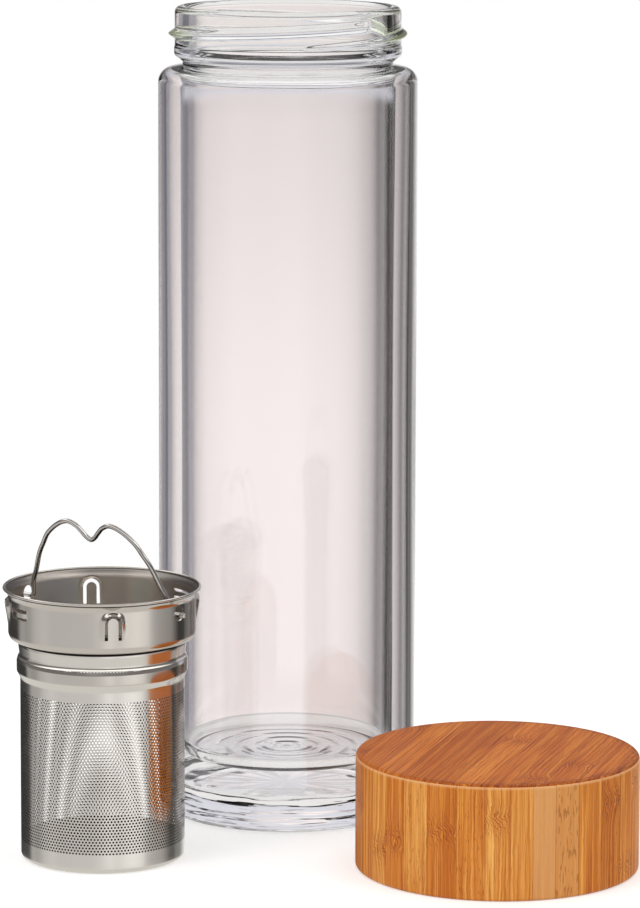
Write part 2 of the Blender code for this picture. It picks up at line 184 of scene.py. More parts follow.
def filleted(corners, closed=False, stepLength=0.25 * mm):
    # Turns corners (radius, height, fillet) into an outline with an arc at each fillet
    outline, count = [], len(corners)
    for i, (r, z, fillet) in enumerate(corners):
        here = Vector((r, z))
        if fillet == 0 or (not closed and i in (0, count - 1)):
            outline.append((r, z))
            continue
        before = Vector(corners[i - 1][:2]) - here
        after = Vector(corners[(i + 1) % count][:2]) - here
        half = before.angle(after) / 2
        reach = min(fillet / math.tan(half), before.length / 2, after.length / 2)
        centre = here + (before.normalized() + after.normalized()).normalized() * (reach / math.cos(half))
        start = here + before.normalized() * reach - centre
        sweep = start.angle_signed(here + after.normalized() * reach - centre)
        steps = max(3, round(abs(sweep) * start.length / stepLength))
        for step in range(steps + 1):
            outline.append(tuple(centre + Matrix.Rotation(-sweep * step / steps, 2) @ start))
    return outline


def divided(outline, longest, closed=False):
    # Puts even points on the stretches of an outline that are longer than this
    points = []
    ends = outline[1:] + outline[:1] if closed else outline[1:]
    for (r, z), (nextR, nextZ) in zip(outline, ends):
        pieces = max(1, math.ceil(math.hypot(nextR - r, nextZ - z) / longest))
        for i in range(pieces):
            points.append((r + (nextR - r) * i / pieces, z + (nextZ - z) * i / pieces))
    return points if closed else points + outline[-1:]


def quarter(steps, first=0):
    # The even turns of a quarter circle
    return [math.pi / 2 * i / steps for i in range(first, steps + 1)]


def arc(radius, centreHeight, steps, sweep=math.pi):
    turns = [sweep * i / steps for i in range(steps + 1)]
    return [(radius * math.cos(turn), centreHeight + radius * math.sin(turn)) for turn in turns]


def evenAngles(sides):
    return np.arange(sides) * (math.tau / sides)


def turned(outline, angles, shape=None, closed=False):
    # Sweeps an outline round the axis. shape(angles, r, z) may move each ring's points.
    rings, corners, faces = [], [], []
    sides = len(angles)
    for r, z in outline:
        if r < 0.001 * mm:
            rings.append([len(corners)] * sides)
            corners.append((0, 0, z))
            continue
        reach, height = (np.full(sides, r), np.full(sides, z)) if shape is None else shape(angles, r, z)
        rings.append(range(len(corners), len(corners) + sides))
        corners.extend(zip(reach * np.cos(angles), reach * np.sin(angles), height))
    followers = rings[1:] + rings[:1] if closed else rings[1:]
    for ring, follower in zip(rings, followers):
        for i in range(sides):
            j = (i + 1) % sides
            face = dict.fromkeys((ring[i], ring[j], follower[j], follower[i]))
            faces.append(tuple(face))
    return corners, faces


def enclosedVolume(corners, faces):
    points = np.array(corners)
    total = 0.0
    for size in (3, 4):
        chosen = np.array([face for face in faces if len(face) == size], int).reshape(-1, size)
        for i in range(1, size - 1):
            first, second, third = points[chosen[:, 0]], points[chosen[:, i]], points[chosen[:, i + 1]]
            total += np.einsum("ij,ij->i", first, np.cross(second, third)).sum() / 6
    return total


def smoothed(mesh, sharpAngle):
    mesh.shade_smooth()
    mesh.set_sharp_from_angle(angle=math.radians(sharpAngle))
    return mesh


def meshOf(name, shells, place, sharpAngle=35):
    # One mesh of closed shells (corners, faces, hollow). A hollow one faces into its own space.
    corners, faces = [], []
    for shellCorners, shellFaces, hollow in shells:
        start = len(corners)
        flip = (enclosedVolume(shellCorners, shellFaces) < 0) != hollow
        corners.extend(shellCorners)
        for face in shellFaces:
            face = face[::-1] if flip else face
            faces.append([start + i for i in face])
    mesh = bpy.data.meshes.new(name)
    mesh.from_pydata([Vector(c) + place for c in corners], [], faces)
    return smoothed(mesh, sharpAngle)


def turnedMesh(name, outline, sides, place, closed=False):
    return meshOf(name, [(*turned(outline, evenAngles(sides), closed=closed), False)], place)


def inScene(item):
    bpy.context.scene.collection.objects.link(item)
    return item


def finalMesh(item):
    # The mesh that an object's modifiers make
    return bpy.data.meshes.new_from_object(item.evaluated_get(bpy.context.evaluated_depsgraph_get()))


def addPiece(name, mesh, body, materials, replaced=()):
    if materials:
        mesh.materials.clear()
        for material in materials:
            mesh.materials.append(material)
    piece = inScene(bpy.data.objects.new(name, mesh))
    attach(piece, body)
    if replaced:
        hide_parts(*replaced)
    print(name, "made with", len(mesh.polygons), "faces")
    return piece


# Camera and studio

camera = dict(
    eye=(-0.43 * mm, -1062.1 * mm, 273.35 * mm),
    lookDown=7.744,
    roll=0.173,
    lens=173.51,
    shiftUp=-0.147,
    clipRange=(0.05, 50),
)


def addCamera(sizes):
    data = bpy.data.cameras.new("camera")
    data.lens = sizes["lens"]
    data.shift_y = sizes["shiftUp"]
    data.clip_start, data.clip_end = sizes["clipRange"]
    eye = inScene(bpy.data.objects.new("camera", data))
    turn = Matrix.Rotation(math.radians(90 - sizes["lookDown"]), 4, "X")
    turn = turn @ Matrix.Rotation(math.radians(sizes["roll"]), 4, "Z")
    eye.matrix_world = Matrix.Translation(sizes["eye"]) @ turn
    bpy.context.scene.camera = eye


# The tent is pale, with dark cards that draw the edges of glass and steel. Each ring is a
# list of (bearing, light), in degrees from straight behind the bottle, to the right.
tent = dict(
    glassRing=[
        (-180, 1.1), (-120, 1.15), (-86, 0.78), (-72, 0.06), (-62, 0.12), (-54, 0.27),
        (-46, 0.23), (-34, 0.19), (-29, 0.4), (-25, 0.3), (-22, 0.5), (-19, 0.45),
        (-15, 0.98), (-12, 1.1), (-5, 1.0), (0, 0.97), (5, 0.86), (9, 0.77),
        (13, 0.29), (18, 0.48), (23, 0.1), (28, 0.0), (32, 0.19), (36, 0.0),
        (53, 0.0), (60, 0.2), (70, 0.1), (92, 0.35), (115, 0.8), (180, 1.1),
    ],
    steelRing=[
        (-180, 0.83), (-168, 0.73), (-120, 0.7), (-106, 0.76), (-91, 0.65), (-84, 0.5),
        (-77, 0.44), (-66, 0.5), (-63, 0.43), (-57, 0.06), (-16, 0.05), (-8, 0.7),
        (0, 0.9), (14, 0.95), (24, 0.75), (32, 0.45), (43, 0.22), (52, 0.27),
        (57, 0.07), (61, 0.06), (70, 0.05), (77, 0.2), (84, 0.38), (98, 0.46),
        (106, 0.52), (113, 0.64), (120, 0.98), (133, 1.12), (145, 1.05), (157, 0.9),
        (168, 1.05), (180, 0.83),
    ],
    warm=rgb(1.0, 0.925, 0.915),
    lilac=rgb(0.96, 0.93, 1.06),
    lilacSide=(0.5, 0.45),  # the turn where the lilac starts and is full
    lilacDark=(0.75, 0.3),  # the same for the light of a card
    upperFall=(0.17, 0.06, 0.2),  # the view's fall, from and at, and how much darker it is there
    # Bands of (from, at, colour), where the view's rise or fall turns the ring to a colour
    glassBands=[
        (-0.035, 0.05, rgb(0.72, 0.72, 0.78)),
        (0.32, 0.38, rgb(0.25, 0.25, 0.28)),
        (0.44, 0.52, rgb(1.0, 1.0, 1.0)),
        (-0.228, -0.262, rgb(0.62, 0.61, 0.61)),
        (-0.30, -0.34, rgb(0.84, 0.83, 0.82)),
    ],
    steelBands=[
        (0.0, 0.14, rgb(0.20, 0.185, 0.185)),
        (0.40, 0.60, rgb(1.6, 1.6, 1.6)),
        (0.74, 0.86, rgb(0.42, 0.40, 0.39)),
        (-0.24, -0.42, rgb(0.80, 0.79, 0.77)),
    ],
    ambient=rgb(0.5, 0.5, 0.5),
)


def addWorld(looks):
    world = bpy.data.worlds.new("tent")
    world.use_nodes = True
    bpy.context.scene.world = world
    tree = Signal(world.node_tree)
    x, y, z = tree.node("ShaderNodeTexCoord", out="Generated").xyz()
    turn = tree.math("ARCTAN2", x, y) / math.tau + 0.5

    def ringLight(ring):
        stops = [(bearing / 360 + 0.5, (light,) * 3) for bearing, light in ring]
        return tree.node("ShaderNodeValToRGB", {"stops": stops}, {0: turn})

    def banded(light, bands):
        for start, end, colour in bands:
            light = z.rise(start, end).mixed(light, colour)
        return light

    # Dark cards on the left look lilac, and the backdrop is darker towards its top
    through = ringLight(looks["glassRing"])
    dark = tree.node("ShaderNodeRGBToBW", None, {0: through}).rise(*looks["lilacDark"])
    through = through.times((turn.rise(*looks["lilacSide"]) * dark).mixed(looks["warm"], looks["lilac"]))
    start, end, amount = looks["upperFall"]
    through = ((z * -1).rise(start, end) * amount).mixed(through, rgb(0, 0, 0))
    through = banded(through, looks["glassBands"])
    mirrored = banded(ringLight(looks["steelRing"]), looks["steelBands"])
    isCamera = tree.node("ShaderNodeLightPath", out="Is Camera Ray")
    isGlossy = tree.node("ShaderNodeLightPath", out="Is Glossy Ray")
    isThrough = tree.node("ShaderNodeLightPath", out="Is Transmission Ray")
    colour = isGlossy.mixed(looks["ambient"], mirrored)
    colour = isThrough.mixed(colour, through)
    colour = isCamera.mixed(colour, rgb(1, 1, 1))
    feed(world.node_tree.nodes["Background"], "Color", colour)


paper = dict(radius=0.32, sides=96, drop=0.02 * mm, colour=rgb(0.8, 0.8, 0.8), roughness=0.9, glow=0.45)


def addFloor(sizes):
    corners, faces = turned([(0, 0), (sizes["radius"], 0)], evenAngles(sizes["sides"]))
    mesh = bpy.data.meshes.new("floor")
    mesh.from_pydata(corners, [], faces)
    looks = dict(Base_Color=sizes["colour"], Roughness=sizes["roughness"])
    material, tree, shader = newMaterial("floorPaper", **looks)
    isCamera = tree.node("ShaderNodeLightPath", out="Is Camera Ray")
    glow = tree.node("ShaderNodeEmission", None, {"Color": rgb(1, 1, 1), "Strength": sizes["glow"]})
    unlit = tree.node("ShaderNodeEmission", None, {"Strength": 0.0})
    glow = tree.node("ShaderNodeMixShader", None, {0: isCamera, 1: unlit, 2: glow})
    lit = Signal(tree.tree, shader.outputs[0])
    surface = tree.node("ShaderNodeAddShader", None, {0: lit, 1: glow})
    tree.tree.links.new(surface.socket, tree.tree.nodes["Material Output"].inputs[0])
    mesh.materials.append(material)
    floor = inScene(bpy.data.objects.new("floor", mesh))
    floor.location.z = -sizes["drop"]
    # Metal and glass show the pale tent in its place
    floor.visible_glossy = floor.visible_transmission = False


lamps = dict(
    leftSoftbox=dict(place=(-0.75, -0.65, 0.75), size=(0.5, 0.8), power=3.8, tint=(1.0, 0.98, 0.96)),
    rightSoftbox=dict(place=(0.85, -0.55, 0.55), size=(0.35, 0.8), power=2.0, tint=(1.0, 0.98, 0.96)),
    topSoftbox=dict(place=(0.0, 0.10, 1.1), size=(0.8, 0.6), power=2.7, tint=(1.0, 1.0, 1.0)),
)
lampAim = Vector((0, 0, 0.09))


def addLamps(lampSizes):
    for name, lamp in lampSizes.items():
        data = bpy.data.lights.new(name, "AREA")
        data.shape = "RECTANGLE"
        data.size, data.size_y = lamp["size"]
        data.energy = lamp["power"]
        data.color = lamp["tint"]
        light = inScene(bpy.data.objects.new(name, data))
        light.location = lamp["place"]
        light.visible_glossy = light.visible_transmission = False
        light.rotation_euler = (lampAim - light.location).to_track_quat("-Z", "Y").to_euler()


addCamera(camera)
addWorld(tent)
addFloor(paper)
addLamps(lamps)
bpy.context.scene.view_settings.view_transform = "Standard"
print("camera and studio stand")


# Glass bottle: one blown and welded body with a sealed air space inside its walls

bottle = dict(
    sides=240,
    outerWall=2.1 * mm,
    airGap=3.6 * mm,
    vesselWall=1.7 * mm,
    vesselFloor=1.4 * mm,
    vesselCorner=5.6 * mm,
    finishHeight=13.0 * mm,
    finishWall=3.4 * mm,
    neckWall=3.2 * mm,
    neckInset=0.4 * mm,
    footChamfer=1.5 * mm,
    finishStep=1.55 * mm,
    lipRound=1.55 * mm,
    ledge=1.6 * mm,
    throat=2.4 * mm,
    throatTaper=3.0 * mm,
    neck=1.7 * mm,
    edge=0.6 * mm,
    shoulderFall=1.2 * mm,
    shoulderRound=4.6 * mm,
    crownPlay=0.05 * mm,
    baseFloor=5.4 * mm,
    baseFloorRadius=20.6 * mm,
    baseHeight=9.6 * mm,
    baseMargin=0.01 * mm,
    footRound=3.2 * mm,
    footWidth=7.5 * mm,
    puntDepth=0.8 * mm,
    puntSlope=3.0 * mm,
    rowLength=7 * mm,
    threadRow=0.25 * mm,
    # The vessel's floor is pressed in rings that fade outwards
    ripple=0.11 * mm,
    rippleLength=4.7 * mm,
    rippleFade=15 * mm,
    rippleRow=0.45 * mm,
    upperPhase=0.4,
    lowerPhase=2.2,
    # Unevenness as (waves round, radians for each metre up or out, phase, share)
    wobble=0.035 * mm,
    vesselWaves=[(3, 37, 0, 1.0), (5, -23, 1.3, 0.7)],
    spaceWaves=[(2, -29, 0.6, 1.0), (4, 41, 0, 0.6)],
    floorWave=0.14 * mm,
    floorWaves=[(7, 800, 0, 1.0), (11, -500, 0, 0.7), (19, 0, 0, 0.5)],
)

thread = dict(
    starts=2,
    firstStart=-45,
    sweep=216,
    topDrop=3.8 * mm,
    lead=8.2 * mm,
    height=1.75 * mm,
    width=3.2 * mm,
    bluntEnd=6,
    longEnd=95,
    endShare=0.3,
    fullness=0.8,
    ringHeight=3.2 * mm,
    ringStep=0.18 * mm,
    ringRamp=0.5 * mm,
)


def threadHeight(angles, drop):
    # How far the thread stands out of the finish at a distance below its rim
    proud = np.zeros(len(angles))
    for start in range(thread["starts"]):
        first = math.radians(thread["firstStart"] + 360 * start / thread["starts"])
        travel = np.degrees((first - angles) % math.tau)
        centre = thread["topDrop"] + thread["lead"] * travel / 360
        grows = np.clip(travel / thread["bluntEnd"], 0, 1)
        fades = np.clip((thread["sweep"] - travel) / thread["longEnd"], 0, 1)
        width = thread["width"] * (thread["endShare"] + (1 - thread["endShare"]) * fades)
        across = np.clip(np.abs(drop - centre) / (width / 2), 0, 1)
        bead = (0.5 + 0.5 * np.cos(math.pi * across)) ** thread["fullness"]
        bead *= np.sin(grows * math.pi / 2) * fades ** thread["fullness"] * (travel < thread["sweep"])
        proud = np.maximum(proud, bead * thread["height"])
    return proud


def waves(terms, angles, along):
    total = 0
    for count, pace, phase, share in terms:
        total = total + share * np.sin(count * angles + pace * along + phase)
    return total


def rippled(radius, height, phase):
    # A pressed floor from its middle almost to a radius
    points = []
    steps = round(radius / bottle["rippleRow"])
    for i in range(steps):
        r = radius * i / steps
        fade = math.exp(-r / bottle["rippleFade"])
        ripple = bottle["ripple"] * math.cos(math.tau * r / bottle["rippleLength"] + phase) * fade
        points.append((r, height + ripple))
    return points


def glassSkin(angles, body, vessel, vesselFoot, finishFoot, shoulder, top):
    # What air and water touch, from the vessel's floor over the lip down to the foot
    sizes = bottle
    bore = vessel - sizes["vesselWall"]
    finish = vessel + sizes["finishStep"]
    finishBore = finish - sizes["finishWall"]
    neck = vessel - sizes["neckInset"]
    neckBore = neck - sizes["neckWall"]
    throatTop = finishFoot - sizes["ledge"] / 2
    throatFoot = throatTop - sizes["throat"]
    floor, floorEdge = vesselFoot + sizes["vesselFloor"], bore - sizes["vesselCorner"]
    edge, punt, lipRound = sizes["edge"], sizes["puntDepth"], sizes["lipRound"]
    corners = [
        (floorEdge, floor, 0),
        (bore, floor, sizes["vesselCorner"] - sizes["vesselWall"] / 2),
        (bore, throatFoot - sizes["throatTaper"], sizes["throatTaper"] / 2),
        (neckBore, throatFoot, edge),
        (neckBore, throatTop, edge),
        (finishBore, throatTop + sizes["ledge"], edge),
        (finishBore, top, lipRound),
        (finish, top, lipRound),
        (finish, finishFoot + sizes["footChamfer"] / 2, sizes["footChamfer"]),
        (neck, finishFoot - sizes["footChamfer"] / 2, edge),
        (neck, shoulder, edge / 2),
        (body, shoulder - sizes["shoulderFall"], sizes["shoulderRound"]),
        (body, 0, sizes["footRound"]),
        (body - sizes["footWidth"], 0, punt),
        (body - sizes["footWidth"] - sizes["puntSlope"], punt, punt),
        (0, punt, 0),
    ]
    outline = rippled(floorEdge, floor, sizes["upperPhase"]) + filleted(corners)
    skin = []
    for (r, z), (nextR, nextZ) in zip(outline, outline[1:]):
        threaded = r > finishBore + edge and finishFoot < (z + nextZ) / 2 < top - lipRound / 2
        row = sizes["threadRow"] if threaded else sizes["rowLength"]
        skin += divided([(r, z), (nextR, nextZ)], row)[:-1]
    skin.append(outline[-1])

    def shape(angles, r, z):
        reach = np.full(len(angles), r)
        if r < finishBore and z < throatFoot:
            reach += sizes["wobble"] * waves(sizes["vesselWaves"], angles, z) * (r / bore)
        if r > finish - edge / 2 and z > finishFoot:
            drop = top - z
            ring = (drop - sizes["finishHeight"] + thread["ringHeight"]) / thread["ringRamp"]
            reach += threadHeight(angles, drop) + thread["ringStep"] * np.clip(ring, 0, 1)
        return reach, np.full(len(angles), z)

    return turned(skin, angles, shape)


def airSpace(angles, outerBore, vessel, vesselFoot, shoulder):
    # The sealed space between the walls, from the foot up and back down the vessel
    sizes = bottle
    baseFloor, baseHeight, baseRadius = sizes["baseFloor"], sizes["baseHeight"], sizes["baseFloorRadius"]
    baseFoot = []
    for turn in quarter(16)[:-1]:
        across = baseRadius + (outerBore - baseRadius) * math.sin(turn)
        baseFoot.append((across, baseFloor + (baseHeight - baseFloor) * (1 - math.cos(turn))))
    spaceTop = shoulder - sizes["outerWall"]
    crown = sizes["airGap"] / 2 - sizes["crownPlay"]
    underEdge = vessel - sizes["vesselCorner"] - sizes["edge"]
    walls = [
        (outerBore, baseHeight, 0),
        (outerBore, spaceTop, crown),
        (vessel, spaceTop, crown),
        (vessel, vesselFoot, sizes["vesselCorner"]),
        (underEdge, vesselFoot, 0),
    ]
    under = rippled(underEdge, vesselFoot, sizes["lowerPhase"])[::-1]
    space = divided([(0, baseFloor)] + baseFoot + filleted(walls) + under, sizes["rowLength"])

    def shape(angles, r, z):
        share = 1 if baseHeight < z < spaceTop else 0
        reach = r + sizes["wobble"] * waves(sizes["spaceWaves"], angles, z) * share
        # Pressed glass is never quite even where the floor meets the wall
        onBase = z < baseHeight + sizes["baseMargin"]
        below = min(max(r / baseRadius - 0.5, 0), 1) if onBase else 0
        return reach, z + sizes["floorWave"] * waves(sizes["floorWaves"], angles, r) * below

    return turned(space, angles, shape)


def makeGlassBottle(glass):
    body = radiusOf("outer_wall")
    vesselFoot, top = heightsOf("inner_vessel")
    outerBore = body - bottle["outerWall"]
    vessel = outerBore - bottle["airGap"]
    finishFoot = top - bottle["finishHeight"]
    shoulder = finishFoot - bottle["neck"]
    angles = evenAngles(bottle["sides"])
    skin = glassSkin(angles, body, vessel, vesselFoot, finishFoot, shoulder, top)
    space = airSpace(angles, outerBore, vessel, vesselFoot, shoulder)
    mesh = meshOf("glassBottle", [(*skin, False), (*space, True)], bottleAxis, sharpAngle=60)
    replaced = ("inner_vessel", "outer_wall", "glass_base")
    piece = addPiece("glassBottle", mesh, "bottle", [glass], replaced)
    piece.visible_shadow = False


glassLook = dict(
    tint=rgb(0.995, 0.99, 0.99),
    finishTint=rgb(0.985, 0.99, 0.98),
    tipTint=rgb(0.90, 0.95, 0.78),
    # Painted glow of the thread's tips at the sides
    tipPaintedGlow=rgb(0.12, 0.14, 0.075),
    finish=(16 * mm, 12 * mm),  # below the rim
    tips=(28.7 * mm, 29.3 * mm),  # out from the axis
    tipSides=(0.75, 0.92),  # as shares of the distance from the axis
    foot=(12 * mm, 8 * mm),  # above the table
    skin=(1.3 * mm, 0.6 * mm),  # in from the outside
    streakLength=14 * mm,
    streakHeight=1.2 * mm,
    streakRelief=0.26 * mm,
)


def glassMaterial():
    looks = glassLook
    clear = dict(Roughness=0.0, IOR=1.5, Transmission_Weight=1.0, Emission_Strength=1.0)
    material, tree, shader = newMaterial("drawnGlass", Base_Color=looks["tint"], **clear)
    x, y, z = pointFrom(tree, bottleAxis).xyz()
    radius, high = radiusOf("outer_wall"), heightsOf("inner_vessel")[1]
    # The pressed foot is slightly uneven, in streaks that run round it
    reach = tree.math("SQRT", x * x + y * y)
    outside = reach.rise(*(radius - depth for depth in looks["skin"]))
    length = looks["streakLength"]
    streaks = tree.noise(tree.joined(x / length, y / length, z / looks["streakHeight"]), detail=1.5)
    feedBump(shader, streaks * outside * z.rise(*looks["foot"]), looks["streakRelief"])
    # Thick glass is greenish: the finish as a whole a little. The thread's tips at the left and right sides
    # also get a painted green tint and a painted glow, for light running edge-on through them
    finish = z.rise(*(high - drop for drop in looks["finish"]))
    tips = finish * reach.rise(*looks["tips"]) * tree.math("ABSOLUTE", x / reach).rise(*looks["tipSides"])
    tint = finish.mixed(looks["tint"], looks["finishTint"])
    feed(shader, "Base Color", tips.mixed(tint, looks["tipTint"]))
    feed(shader, "Emission Color", tips.mixed(rgb(0.0, 0.0, 0.0), looks["tipPaintedGlow"]))
    return material


makeGlassBottle(glassMaterial())


# Steel of the infuser

# Colour, roughness and the height of the grain's streaks
steels = dict(
    sheetSteel=(rgb(0.62, 0.58, 0.53), 0.13, 0.9 * mm),
    # A lighter copy of the same steel: painted light on the tube, the perforated sheet and the collar's
    # neck
    lighterLitSteel=(rgb(0.74, 0.705, 0.65), 0.16, 0.7 * mm),
    # Near-black copy of the steel: painted shade in the collar's crevice and under its bead
    shadowSteel=(rgb(0.06, 0.052, 0.048), 0.35, 0.7 * mm),
    # Near-black copy of the steel: painted shade inside the tube, on the tube bands' lip and on the pan
    shadedInsideSteel=(rgb(0.09, 0.08, 0.073), 0.3, 0.7 * mm),
    wireSteel=(rgb(0.58, 0.555, 0.53), 0.05, 0.9 * mm),
)
grain = dict(scale=3.0, detail=4.0, relief=0.004 * mm, roughness=0.10, smudgeScale=90.0, smudge=0.06)


def brushedSteel(name, colour, roughness, grainHeight):
    # Rolled sheet: faint scratches that run round the piece
    material, tree, shader = newMaterial(name, Metallic=1.0, Base_Color=colour)
    point = pointFrom(tree, infuserAxis)
    x, y, z = point.xyz()
    around = tree.math("ARCTAN2", y, x)
    scratches = tree.noise(tree.joined(around, 0, z / grainHeight), grain["scale"], grain["detail"])
    smudge = tree.noise(point, grain["smudgeScale"]).rise(0.5, 0.75) * grain["smudge"]
    # Half of the scratches' share comes off again, so that the roughness stays as given
    uneven = scratches * grain["roughness"]
    feed(shader, "Roughness", roughness + uneven + smudge - grain["roughness"] / 2)
    feedBump(shader, scratches, grain["relief"])
    return material


collar = dict(
    columns=300,
    sheet=0.4 * mm,
    radius=22.8 * mm,
    rim=24.05 * mm,
    bead=0.32 * mm,
    beadTurn=(225, 270),
    flare=2.2 * mm,
    straight=10.8 * mm,
    shoulder=1.75 * mm,
    shoulderStep=1.1 * mm,
    seamDrop=0.8 * mm,
    waist=20.45 * mm,
    crease=1.0 * mm,
    creaseHeight=1.3 * mm,
    neckTaper=0.3 * mm,
    neckFlare=0.38 * mm,
    turnOut=0.95 * mm,
    creviceShadeBand=0.85 * mm,
    beadShadeBand=0.35 * mm,
    rowLength=0.4 * mm,
    cutDepth=4 * mm,
    play=0.05 * mm,
)

tongue = dict(
    count=4,
    bearing=9.5,
    width=2.5 * mm,
    slot=0.8 * mm,
    drop=2.9 * mm,
    height=6.2 * mm,
    bow=0.85 * mm,
    spread=1.0 * mm,
)
lance = dict(
    count=2,
    bearing=31.5,
    width=7.2 * mm,
    strip=1.1 * mm,
    slit=0.8 * mm,
    bow=0.5 * mm,
    fullness=0.7,
)
wireHole = dict(count=2, bearing=-33, radius=1.9 * mm, drop=4.9 * mm, lift=0.5 * mm)


def collarOutline(top, foot):
    sizes = collar
    radius, sheet, waist = sizes["radius"], sizes["sheet"], sizes["waist"]
    foot -= sizes["seamDrop"]
    bead = []
    first, sweep = sizes["beadTurn"]
    for i in range(1, 14):
        turn = math.radians(first - sweep * i / 14)
        across = sizes["rim"] - sizes["bead"] + sizes["bead"] * math.cos(turn)
        bead.append((across, top - sizes["bead"] + sizes["bead"] * math.sin(turn)))
    outside = []
    spread = sizes["rim"] - 2 * sizes["bead"] - radius + sheet
    flareFoot = top - sizes["bead"] - sizes["flare"]
    for i in range(12):
        share = 1 - i / 12
        height = flareFoot + (sizes["flare"] - sizes["bead"]) * share
        outside.append((radius + spread * share**2, height))
    straightFoot = top - sizes["straight"]
    outside += divided([(radius, flareFoot), (radius, straightFoot)], sizes["rowLength"])
    # The shoulder turns in like a quarter of an ellipse and folds back over a short neck
    for turn in quarter(12, first=1):
        across = radius - sizes["shoulderStep"] * (1 - math.cos(turn))
        outside.append((across, straightFoot - sizes["shoulder"] * math.sin(turn)))
    neckTop = straightFoot - sizes["shoulder"] + sheet / 2
    for turn in quarter(8):
        across = waist - sizes["crease"] * (1 - math.sin(turn))
        outside.append((across, neckTop - sizes["creaseHeight"] * (1 - math.cos(turn))))
    neckFoot = waist - sizes["neckTaper"]
    outside += divided([outside[-1], (neckFoot, foot + sizes["turnOut"])], sizes["rowLength"])[1:]
    for i in range(1, 9):
        share = i / 8
        outside.append((neckFoot + sizes["neckFlare"] * share**2, foot + sizes["turnOut"] * (1 - share)))
    # The wall inside runs straight past the shoulder's fold
    inside = []
    for r, z in reversed(outside):
        folded = z < straightFoot - sizes["shoulder"] / 2
        inside.append(((min(r, waist) if folded else r) - sheet, z))
    return bead + outside + inside


def slotPlaces(top):
    # The foot and the spring of a tongue's arch, its outer radius, and the height of the wire
    outer = tongue["width"] / 2 + tongue["slot"]
    slotTop = top - tongue["drop"]
    return slotTop - tongue["height"], slotTop - outer, outer, top - wireHole["drop"]


def collarShape(top):
    slotFoot, spring, outer, pivot = slotPlaces(top)

    def awayFrom(angles, kind, i):
        # How far each column lies from the middle of a tongue or strip
        away = angles - math.radians(kind["bearing"]) - i * math.tau / kind["count"]
        return np.abs((away + math.pi) % math.tau - math.pi) * collar["radius"]

    def shape(angles, r, z):
        proud = np.zeros(len(angles))
        for i in range(tongue["count"]):
            # Pressed out along the slot's outer edge, most at its arch and not at its feet
            fromCentre = np.hypot(awayFrom(angles, tongue, i), max(z - spring, 0))
            fromEdge = np.maximum(fromCentre - outer, (outer - fromCentre) * 2)
            along = min(max((z - slotFoot) / (spring - slotFoot), 0), 1)
            swell = np.cos(math.pi / 2 * np.clip(fromEdge / tongue["spread"], 0, 1)) ** 2
            proud = np.maximum(proud, tongue["bow"] * swell * along)
        if abs(z - pivot) < lance["strip"] / 2 + lance["slit"] / 2:
            half = lance["width"] / 2
            for i in range(lance["count"]):
                away = awayFrom(angles, lance, i)
                bow = np.cos(math.pi / 2 * np.clip(away / half, 0, 1)) ** lance["fullness"]
                proud = np.where(away < half, lance["bow"] * bow, proud)
        return r + proud, np.full(len(angles), z)

    return shape


def radialPrism(bm, outline, bearing):
    # A prism with an outline (across, height) that runs outwards through the collar's wall
    start = collar["radius"] - collar["cutDepth"] / 2
    face = bm.faces.new([bm.verts.new((start, across, z)) for across, z in outline])
    moved = bmesh.ops.extrude_face_region(bm, geom=[face])["geom"]
    tips = [item for item in moved if isinstance(item, bmesh.types.BMVert)]
    bmesh.ops.translate(bm, vec=(collar["cutDepth"], 0, 0), verts=tips)
    everything = list(set(tips) | set(face.verts))
    turn = Matrix.Rotation(math.radians(bearing), 3, "Z")
    bmesh.ops.rotate(bm, cent=(0, 0, 0), matrix=turn, verts=everything)


def collarCutters(top):
    slotFoot, spring, outer, pivot = slotPlaces(top)
    inner = tongue["width"] / 2
    arch = arc(outer, spring, 18) + [(-outer, slotFoot), (-inner, slotFoot)]
    arch += arc(inner, spring, 18)[::-1] + [(inner, slotFoot), (outer, slotFoot)]
    bm = bmesh.new()
    for i in range(tongue["count"]):
        radialPrism(bm, arch, tongue["bearing"] + 360 * i / tongue["count"])
    half, rise = lance["width"] / 2, lance["slit"] / 2
    for i in range(lance["count"]):
        for side in (1, -1):
            middle = pivot + side * (lance["strip"] + lance["slit"]) / 2
            low, high = middle - rise, middle + rise
            slit = [(-half, low), (half, low), (half, high), (-half, high)]
            radialPrism(bm, slit, lance["bearing"] + 360 * i / lance["count"])
    ring = arc(wireHole["radius"], pivot + wireHole["lift"], 24, math.tau)[:-1]
    for i in range(wireHole["count"]):
        radialPrism(bm, ring, wireHole["bearing"] + 360 * i / wireHole["count"])
    bmesh.ops.recalc_face_normals(bm, faces=bm.faces)
    mesh = bpy.data.meshes.new("collarCutters")
    bm.to_mesh(mesh)
    bm.free()
    mesh.transform(Matrix.Translation(infuserAxis))
    return bpy.data.objects.new("collarCutters", mesh)


